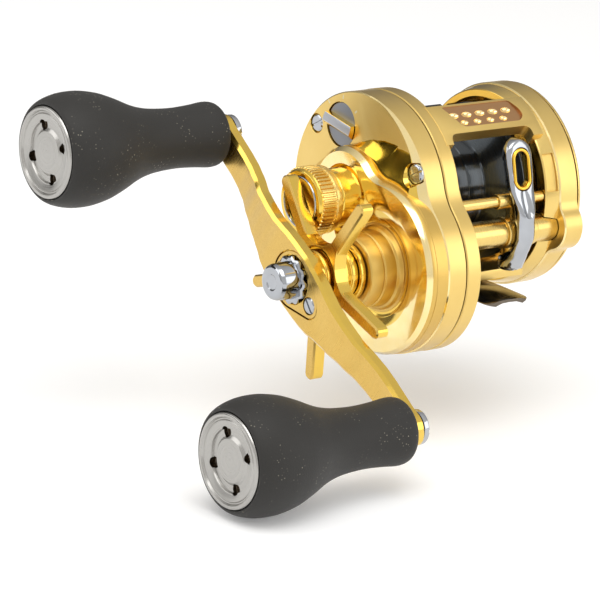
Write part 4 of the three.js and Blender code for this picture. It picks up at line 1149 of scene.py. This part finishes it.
def make_guide_insert():
    """The gold ring in the guide's eye, swept round the slot and leaning with the guide's face."""
    path = upright_slot_points(2.55, 5.05, 20)
    sections = []
    for i, (x, z) in enumerate(path):
        heading = (Vector(path[(i + 1) % len(path)]) - Vector(path[i - 1])).normalized()
        outward = Vector((heading.y, -heading.x))
        front = 26.15 + (15.8 - z) * 0.245
        rounded = squircle(0.56, 1.25, 16, 0.7)
        sections.append([(x + outward.x * a, front - 1.35 + b, z + outward.y * a) for a, b in rounded])
    insert = closed_sweep("guide_insert_fine", sections)
    place(dress(insert, "insert_gold"), "carriage", "gold", "guide_insert")


def upright_slot_points(half_width, half_height, steps):
    reach = half_height - half_width
    points = []
    for start, centre in ((0, EYE_MIDDLE + reach), (math.pi, EYE_MIDDLE - reach)):
        for i in range(steps + 1):
            angle = start + math.pi * i / steps
            points.append((GUIDE_X + half_width * math.cos(angle), centre + half_width * math.sin(angle)))
    return points


def along_y_slot(name, half_width, half_height, y0, y1):
    points = upright_slot_points(half_width, half_height, 20)
    return loft(name, [[(x, y, z) for x, z in points] for y in (y0, y1)])


def closed_sweep(name, sections, sharp=50):
    size = len(sections[0])
    verts = [point for section in sections for point in section]
    faces = []
    for k in range(len(sections)):
        nxt = (k + 1) % len(sections)
        for i in range(size):
            j = (i + 1) % size
            faces.append((k * size + i, k * size + j, nxt * size + j, nxt * size + i))
    return mesh_object(name, verts, faces, sharp)


def make_thumb_bar():
    outline = arc(SPOOL, 24.9, 135.5, 155, 12) + arc(SPOOL, 22.4, 156, 135, 12)
    pad = dress(prism("thumb_pad", soften(outline, 0.6, 4, closed=True), -14.2, 14.9, 0.5), "plastic")
    ridges = [block("ridge", -12.6, 13.3, 24.5, 27.4, -2.6 + 1.3 * i, -2.2 + 1.3 * i) for i in range(5)]
    cut_with(pad, "plastic", *[spin(ridge, 145.5) for ridge in ridges])
    join_with(pad, "plastic", rod("tab", 1.2, 14.1, 22.6, polar(TAB_RADIUS, TAB_ANGLE), 24))
    return place(shade(pad), "thumb_bar", "plastic", "thumb_bar")


# ---------------------------------------------------------------- cast control and dial

CAST_RIBS, CAST_RADIUS, CAST_BAR_ANGLE = 50, 9.4, -43
DIAL_BAR_ANGLE = -10

def make_cast_control():
    outline = []
    for i in range(CAST_RIBS):
        middle = 360 * i / CAST_RIBS
        outline += [
            polar(CAST_RADIUS - 0.5, middle - 2.5), polar(CAST_RADIUS, middle - 1.2),
            polar(CAST_RADIUS, middle + 1.1), polar(CAST_RADIUS - 0.5, middle + 2.3),
        ]
    rim = inset(outline, 0.25)
    band = loft("cast_knob", [at(41.9, rim), at(42.2, outline), at(46.3, outline), at(46.6, rim)], 30)
    sleeve = [(39.6, 0), (39.6, 8.6), (40.0, 9.15), (41.6, 9.15), (41.75, 8.9), (42.3, 8.9), (42.3, 0)]
    smooth = revolve("cast_smooth", sleeve, SPOOL, 96)
    face = revolve("cast_face", [(46.3, 0), (46.3, 9.0), (46.7, 8.95), (47.35, 8.3), (47.35, 0)], SPOOL, 96)
    dish = revolve("cast_dish", [(46.35, 0), (46.35, 6.2), (46.7, 6.4), (49, 6.4), (49, 0)], SPOOL, 96)
    bar = bevel(spin(block("cast_bar", 45.9, 48.1, -8.6, 8.6, -1.65, 1.65), CAST_BAR_ANGLE), 0.18, 2)
    keep_inside(dress(bar, "bar_face"), dress(rod("trim", 8.3, 45, 50, segments=96), "polished"))
    join(dress(band, "cast_gold"), dress(smooth, "cast_gold"), dress(face, "polished"))
    cut_with(band, "polished", dish)
    join(band, bar)
    hollows = [rod("bore", 6.8, 38.6, 44.4, segments=72), ring("ring_seat", 7.1, 6.1, 46.2, 50)]
    cut_with(band, "polished", *hollows)
    place(shade(band), "cast_control", "gold", "cast_control_knob")
    profile = [(46.3, 6.4), (46.3, 7.0), (47.4, 7.0), (47.65, 6.85), (47.65, 6.55), (47.4, 6.4)]
    bezel = revolve("cast_ring_fine", profile, SPOOL, 96, 0.08)
    place(dress(bezel, "chrome"), "cast_control", "chrome", "cast_control_ring")


def make_dial():
    profile = [(27.1, 0), (27.1, 6.0), (27.55, 6.0), (27.7, 5.85), (27.7, 0)]
    disc = dress(revolve("dial_disc", profile, DIAL, 72), "dial_grey")
    section = [(27.4, -2.1), (28.3, -2.1), (29.9, -0.7), (29.5, 1.8), (27.4, 1.8)]
    section = soften(section, 0.12, 2, closed=True)
    bar = loft("dial_bar", [[(x, y, z) for x, z in section] for y in (-6.2, 6.2)], 30)
    dress(bar, "polished", "silver")
    paint(bar, 1, lambda c, n: n.x > 0.9 and c.z > -0.7)
    move(spin(bar, DIAL_BAR_ANGLE), *DIAL)
    keep_inside(bar, dress(rod("trim", 5.95, 27, 31, DIAL, 72), "polished"))
    join(disc, bar, dress(rod("dial_stem", 1.5, 25.2, 27.3, DIAL), "silver"))
    return place(shade(disc), "dial", "chrome", "dial")


# ---------------------------------------------------------------- star drag and handle

STAR_ARMS, STAR_FIRST = 5, 53.3
STAR_BACK, STAR_FRONT, STAR_TIP = 48.4, 52.2, 26.9
SHAFT_BORE = 3.15


def spoke_outline():
    """A star arm from the hub to its rounded tip, wider at the root and again towards the tip."""
    points = []
    for reach, side in slot_outline((9.4, 0), (STAR_TIP, 0), 1.5, 14):
        side *= 0.92 + 0.22 * smooth_step(reach, 16, 26)
        side *= 1 + 0.35 * smooth_step(reach, 14, 9)
        points.append((reach, side if reach <= STAR_TIP else side / 1.06))
    return points


def star_spoke(turn):
    outline = spoke_outline()
    arm = loft("spoke", [
        at(STAR_BACK, inset(outline, 0.25)), at(STAR_BACK + 0.25, outline), at(STAR_FRONT - 0.45, outline),
        at(STAR_FRONT, inset(outline, 0.45)),
    ], 40)
    dress(arm, "arm_gold", "polished")
    paint(arm, 1, lambda c, n: abs(n.x) < 0.5)
    return move(spin(arm, turn), *DRIVE)


def make_star():
    hub = dress(revolve("star_body", [
        (43.2, 0), (43.2, 6.7), (44.8, 6.7), (45.0, 6.45), (45.3, 6.45), (45.5, 6.7), (47.0, 6.7),
        (47.4, 8.3), (51.0, 8.3), (51.3, 7.6), (51.3, 0),
    ], DRIVE, 96), "polished")
    web = dress(ring("star_web", 14.2, 8.0, STAR_BACK, STAR_FRONT, DRIVE, 128, 0.4), "arm_gold")
    for i in range(STAR_ARMS):
        middle = STAR_FIRST - 360 / STAR_ARMS * (i + 0.5)
        cut_with(web, "polished", rod("scallop", 9.6, 47.0, 53.0, polar(18.2, middle, DRIVE), 72))
    join(hub, web)
    for i in range(STAR_ARMS):
        join(hub, star_spoke(STAR_FIRST - 360 * i / STAR_ARMS))
    cut_with(hub, "polished", rod("bore", SHAFT_BORE, 40, 55, DRIVE))
    return place(shade(hub), "star", "gold", "star_drag")


# Half width of the arm, and the place of its front face, by distance from the hub.
ARM_WIDTHS = [
    (0, 9.0), (5, 8.65), (9, 8.2), (12, 7.6), (16, 6.5), (20, 5.85), (26, 5.0), (32, 4.7), (40, 4.55),
    (48, 4.6), (51.8, 4.85),
]
ARM_DROP = [
    (0, 60.0), (12, 59.98), (16, 59.5), (20, 58.9), (26, 57.7), (32, 56.0), (36, 55.3), (40, 55.0),
    (60, 55.0),
]
ARM_THICKNESS = 3.5
ARM_BEVEL = 0.95
ARM_END = 4.88
RETAINER_REACH = 9.2


def arm_stations():
    """Places along the arm with its half width there, closed by a round end at each knob."""
    rounds = [i / 10 * math.pi / 2 for i in range(1, 11)]
    tip = [(-ARM_LENGTH - ARM_END * math.cos(turn), ARM_END * math.sin(turn)) for turn in rounds]
    places = [s for s in [-51.8, *range(-51, 52), 51.8] if abs(s) < ARM_LENGTH - 0.2]
    body = [(s, along(ARM_WIDTHS, abs(s))) for s in places]
    return tip + body + [(-s, width) for s, width in reversed(tip)]


def make_handle_arm():
    """A flat bar that waists outwards from the hub and steps back towards the knobs, bevelled all round."""
    sections = []
    for s, width in arm_stations():
        top = along(ARM_DROP, abs(s))
        back = top - ARM_THICKNESS
        bevel_in = min(ARM_BEVEL, 0.45 * width)
        side = top - 0.75 * bevel_in
        half = [(top, width - bevel_in), (side, width), (back + 0.4, width), (back, width - 0.4 * bevel_in)]
        sections.append([(x, s, z) for x, z in half] + [(x, s, -z) for x, z in reversed(half)])
    arm = dress(loft("arm_body", sections, 28), "arm_gold", "polished")
    paint(arm, 1, lambda c, n: n.x < 0.93)
    tools = [
        prism("recess", retainer_outline(0.3), 58.9, 62, 0.05),
        rod("t1", 3.2, 50, 70),
        rod("t2", 1.1, 57.4, 62, (RETAINER_REACH, 0.0)),
        rod("t3", 1.95, 45, 70, (ARM_LENGTH, 0.0)),
        rod("t4", 1.95, 45, 70, (-ARM_LENGTH, 0.0)),
    ]
    cut_with(arm, "polished", *tools)
    place_on_arm(arm)
    return place(shade(arm, 28), "drive", "gold", "handle_arm")


def place_on_arm(piece):
    there = Matrix.Translation((0, *DRIVE))
    return transform(piece, there @ Matrix.Rotation(ARM_ANGLE, 4, "X"))


def retainer_outline(grow):
    big, tip, reach = 7.6 + grow, 3.4 + grow, RETAINER_REACH
    lean = math.degrees(math.acos((big - tip) / reach))
    points = arc(SPOOL, big, lean, 360 - lean, 60) + [polar(big, 360 - lean)]
    return points + arc((reach, 0.0), tip, -lean, lean, 24) + [polar(tip, lean, (reach, 0.0))]


def make_handle_fittings():
    plate = dress(prism("retainer_fine", retainer_outline(0), 59.05, 59.78, 0.12), "arm_gold")
    cut_with(plate, "polished", rod("t1", 6.7, 50, 70), rod("t2", 2.45, 50, 70, (RETAINER_REACH, 0.0)))
    place(shade(place_on_arm(plate)), "drive", "gold", "retainer_plate")

    screw_at = polar(RETAINER_REACH, ARM_TURN, DRIVE)
    slotted_screw("retainer_screw_fine", screw_at, 2.3, 59.85, "drive", "retainer_screw",
                  height=0.8, shank=0.95, depth=1.4, turn=-50)

    points = []
    for i in range(12):
        points += [polar(6.5, 30 * i - 4, DRIVE), polar(6.5, 30 * i + 4, DRIVE)]
        points.append(polar(5.85, 30 * i + 15, DRIVE))
    flange = loft("nut_body", [
        at(59.2, inset(points, 0.3)), at(59.45, points), at(60.6, points), at(61.0, inset(points, 0.5)),
    ], 30)
    barrel = revolve("nut_barrel", [
        (60.4, 0), (60.4, 5.2), (61.2, 5.0), (65.3, 4.85), (66.2, 4.5), (66.5, 3.9), (66.5, 2.2),
        (66.2, 1.9), (66.2, 0),
    ], DRIVE, 96)
    join_with(dress(flange, "chrome"), "chrome", barrel)
    cut_with(flange, "chrome", rod("bore", SHAFT_BORE, 58, 62, DRIVE))
    place(shade(flange), "drive", "chrome", "handle_nut")

    collar = revolve("collar_fine", [
        (51.6, SHAFT_BORE), (51.6, 7.2), (53.4, 7.2), (53.6, 6.9), (53.9, 6.9), (54.1, 7.2), (56.2, 7.2),
        (56.2, SHAFT_BORE),
    ], DRIVE, 96)
    place(dress(collar, "polished"), "drive", "gold", "arm_collar")
    washer = ring("spring_washer_fine", 7.8, 5.1, 41.4, 42.9, DRIVE, 96, 0.2)
    place(dress(washer, "polished"), "drive", "gold", "star_spring_washer")


# Knob grip: distance back from the cap face, and radius.
GRIP = [
    (0.6, 12.9), (1.2, 13.5), (3.0, 14.3), (6.0, 15.0), (9.0, 15.2), (12.0, 15.05), (16.0, 14.3),
    (19.0, 13.3), (22.0, 12.1), (25.0, 10.75), (28.0, 9.65), (31.0, 8.9), (34.0, 8.45), (38.0, 8.15),
    (42.0, 8.1), (47.0, 8.4), (51.0, 8.8), (53.2, 8.5), (54.2, 7.5),
]
# Cap relief: depth below the cap face, and radius.
CAP = [
    (0.5, 12.15), (0.12, 11.95), (0, 11.6), (0, 11.1), (0.65, 10.7), (0.65, 10.4), (0.3, 10.1), (0.85, 8.4),
    (0.85, 8.1), (1.5, 7.9), (1.5, 6.3), (0.8, 5.5), (0.7, 0),
]
CAP_FACE = 109.9


def make_knob(side):
    centre = KNOBS[side]
    body = f"knob_{side}"
    outer = [(CAP_FACE - back, radius) for back, radius in curve_through(GRIP, 3)]
    grip = revolve(f"grip_{side}", outer + [
        (55.5, 5.0), (60.2, 5.0), (60.2, 3.2), (96.0, 3.2), (96.0, 5.0), (105.0, 5.0), (105.0, 12.4),
        (CAP_FACE - 0.6, 12.4),
    ], centre, 120, edge=0.1, sharp=50)
    place(dress(grip, "foam"), body, "foam", f"knob_grip_{side}")

    relief = [(CAP_FACE - deep, radius) for deep, radius in CAP]
    cap = revolve(f"cap_{side}", [(105.2, 0), (105.2, 12.15)] + relief, centre, 120, edge=0.07)
    notches = []
    for turn in (20, 110, 200, 290):
        notches.append(rod("notch", 1.45, CAP_FACE - 2.6, CAP_FACE + 1, polar(7.2, turn, centre), 24))
    cut_with(dress(cap, f"cap_{side}"), "dark_steel", *notches)
    place(shade(cap), body, "cap_steel", f"knob_cap_{side}")

    pin = revolve(f"pin_{side}", [
        (49.5, 0), (49.5, 4.3), (49.85, 4.65), (51.3, 4.65), (51.3, 1.9), (104.0, 1.9), (104.0, 0),
    ], centre, 48, 0.15)
    cut_with(dress(pin, "chrome"), "chrome", move(block("s", 48.5, 49.95, -5, 5, -0.5, 0.5), *centre))
    place(shade(pin), "drive", "chrome", f"knob_pin_{side}")


def curve_through(points, steps):
    """A smooth line through points, with extra points between them."""
    result = []
    for i in range(len(points) - 1):
        p0, p1 = Vector(points[max(i - 1, 0)]), Vector(points[i])
        p2, p3 = Vector(points[i + 1]), Vector(points[min(i + 2, len(points) - 1)])
        for k in range(steps):
            t = k / steps
            point = 0.5 * (2 * p1 + (p2 - p0) * t + (2 * p0 - 5 * p1 + 4 * p2 - p3) * t ** 2
                           + (3 * p1 - p0 - 3 * p2 + p3) * t ** 3)
            result.append((point.x, point.y))
    return result + [points[-1]]


# ---------------------------------------------------------------- carried-over CAD nodes

NODE_LOOKS = {
    "shaft_steel": (
        "spool_shaft", "spool_bearing_palm", "spool_bearing_handle", "pinion_support_bearing", "brake_ring",
        "drive_shaft", "drive_shaft_bearing", "pressure_plate", "clutch_sleeve", "roller_clutch",
        "worm_shaft", "knob_bearing_inner_lower", "knob_bearing_outer_lower", "knob_bearing_inner_upper",
        "knob_bearing_outer_upper",
    ),
    "plastic": ("brake_hub", "brake_shoe_1", "brake_shoe_2", "crank_gear", "clutch_yoke", "worm_gear"),
    "brass": ("pinion_gear", "drive_gear", "pawl"),
    "carbon": ("drag_washer", "cast_control_pad"),
}


def dress_nodes():
    for look, nodes in NODE_LOOKS.items():
        for node in nodes:
            dress(frame["nodes"][node], look)


# ---------------------------------------------------------------- the stage

CAMERA_PLACE = (0.5980, 0.7041, 0.2518)
CAMERA_RIGHT = (-0.7955, 0.6030, 0.0595)
CAMERA_BACK = (0.5940, 0.7567, 0.2731)
LENS, SENSOR = 209.8, 36.0


def make_camera():
    camera = bpy.data.objects.new("camera", bpy.data.cameras.new("camera"))
    bpy.context.scene.collection.objects.link(camera)
    back = Vector(CAMERA_BACK).normalized()
    right = (Vector(CAMERA_RIGHT) - back * Vector(CAMERA_RIGHT).dot(back)).normalized()
    up = back.cross(right)
    turn = Matrix((right, up, back)).transposed().to_4x4()
    camera.matrix_world = Matrix.Translation(CAMERA_PLACE) @ turn
    camera.data.lens = LENS
    camera.data.sensor_width = SENSOR
    camera.data.clip_end = 20
    bpy.context.scene.camera = camera


def make_floor():
    mesh = bpy.data.meshes.new("floor")
    reach, height = 6.0, CAD_BOUNDS[0][2] - 0.0004
    mesh.from_pydata([(-reach, -reach, height), (reach, -reach, height), (reach, reach, height),
                      (-reach, reach, height)], [], [(0, 1, 2, 3)])
    floor = bpy.data.objects.new("floor", mesh)
    bpy.context.scene.collection.objects.link(floor)
    m = Nodes("pale_floor")
    m.set(Base_Color=(0.86, 0.86, 0.86, 1), Roughness=0.9, Specular_IOR_Level=0.1)
    m.set(Emission_Color=(1, 1, 1, 1), Emission_Strength=0.18)
    mesh.materials.append(m.material)


def soft_box(name, place_at, width, height, brightness):
    """A rectangular light aimed at the reel; brightness is what a mirror facing it would show."""
    data = bpy.data.lights.new(name, "AREA")
    data.shape = "RECTANGLE"
    data.size, data.size_y = width, height
    data.energy = brightness * math.pi * width * height
    light = bpy.data.objects.new(name, data)
    bpy.context.scene.collection.objects.link(light)
    light.location = place_at
    light.rotation_euler = (STAGE_CENTRE - Vector(place_at)).to_track_quat("-Z", "Y").to_euler()


def make_room():
    """A dim room that is brighter towards the front, so that round metal shows dark and light bands."""
    world = bpy.data.worlds.new("room")
    world.use_nodes = True
    tree = world.node_tree
    coordinates = tree.nodes.new("ShaderNodeTexCoord")
    facing = tree.nodes.new("ShaderNodeVectorMath")
    facing.operation = "DOT_PRODUCT"
    facing.inputs[1].default_value = Vector(ROOM_FRONT).normalized()
    spread = tree.nodes.new("ShaderNodeMapRange")
    spread.inputs["From Min"].default_value = -1.0
    ramp = tree.nodes.new("ShaderNodeValToRGB")
    tree.links.new(coordinates.outputs["Generated"], facing.inputs[0])
    tree.links.new(facing.outputs["Value"], spread.inputs["Value"])
    tree.links.new(spread.outputs["Result"], ramp.inputs["Fac"])
    background = tree.nodes["Background"]
    tree.links.new(ramp.outputs["Color"], background.inputs["Color"])
    ramp.color_ramp.elements[0].position = ROOM_STOPS[0][0]
    ramp.color_ramp.elements[1].position = ROOM_STOPS[-1][0]
    for position, _ in ROOM_STOPS[1:-1]:
        ramp.color_ramp.elements.new(position)
    for element, (_, level) in zip(ramp.color_ramp.elements, ROOM_STOPS):
        element.color = (level, level * 0.985, level * 0.96, 1)
    bpy.context.scene.world = world


STAGE_CENTRE = Vector((0.02, 0.0, 0.02))
ROOM_FRONT = (0.25, 0.6, 0.75)
ROOM_STOPS = [(0.0, 0.12), (0.3, 0.2), (0.5, 0.42), (0.7, 0.68), (0.88, 0.9), (1.0, 0.8)]


def make_lights():
    soft_box("top_box", (0.25, 0.35, 1.0), 0.9, 0.8, 2.6)
    soft_box("front_box", (-0.57, 0.76, 0.30), 0.6, 0.6, 1.5)
    soft_box("side_box", (0.85, -0.55, 0.5), 0.8, 0.7, 1.6)
    make_room()
    bpy.context.scene.view_settings.view_transform = "Standard"


# ---------------------------------------------------------------- assembly

make_camera()
make_floor()
make_lights()
dress_nodes()
make_frame()
make_cover()
make_palm_cover()
make_foot()
make_foot_screws()
for (screw_place, screw_radius), end in zip(COVER_SCREWS, ("rear", "front", "lower")):
    screw_node = f"side_plate_screw_{end}"
    slotted_screw(screw_node + "_fine", screw_place, screw_radius, COVER_FACE, "frame", screw_node)
slotted_screw("palm_lock_fine", LOCK, 2.7, 30.6, "frame", "palm_lock_screw",
              height=1.3, shank=1.4, depth=4.4, slot="steel", faces_palm=True)
make_spool()
make_level_wind()
make_line_guide()
make_thumb_bar()
make_cast_control()
make_dial()
make_star()
make_handle_arm()
make_handle_fittings()
make_knob("lower")
make_knob("upper")
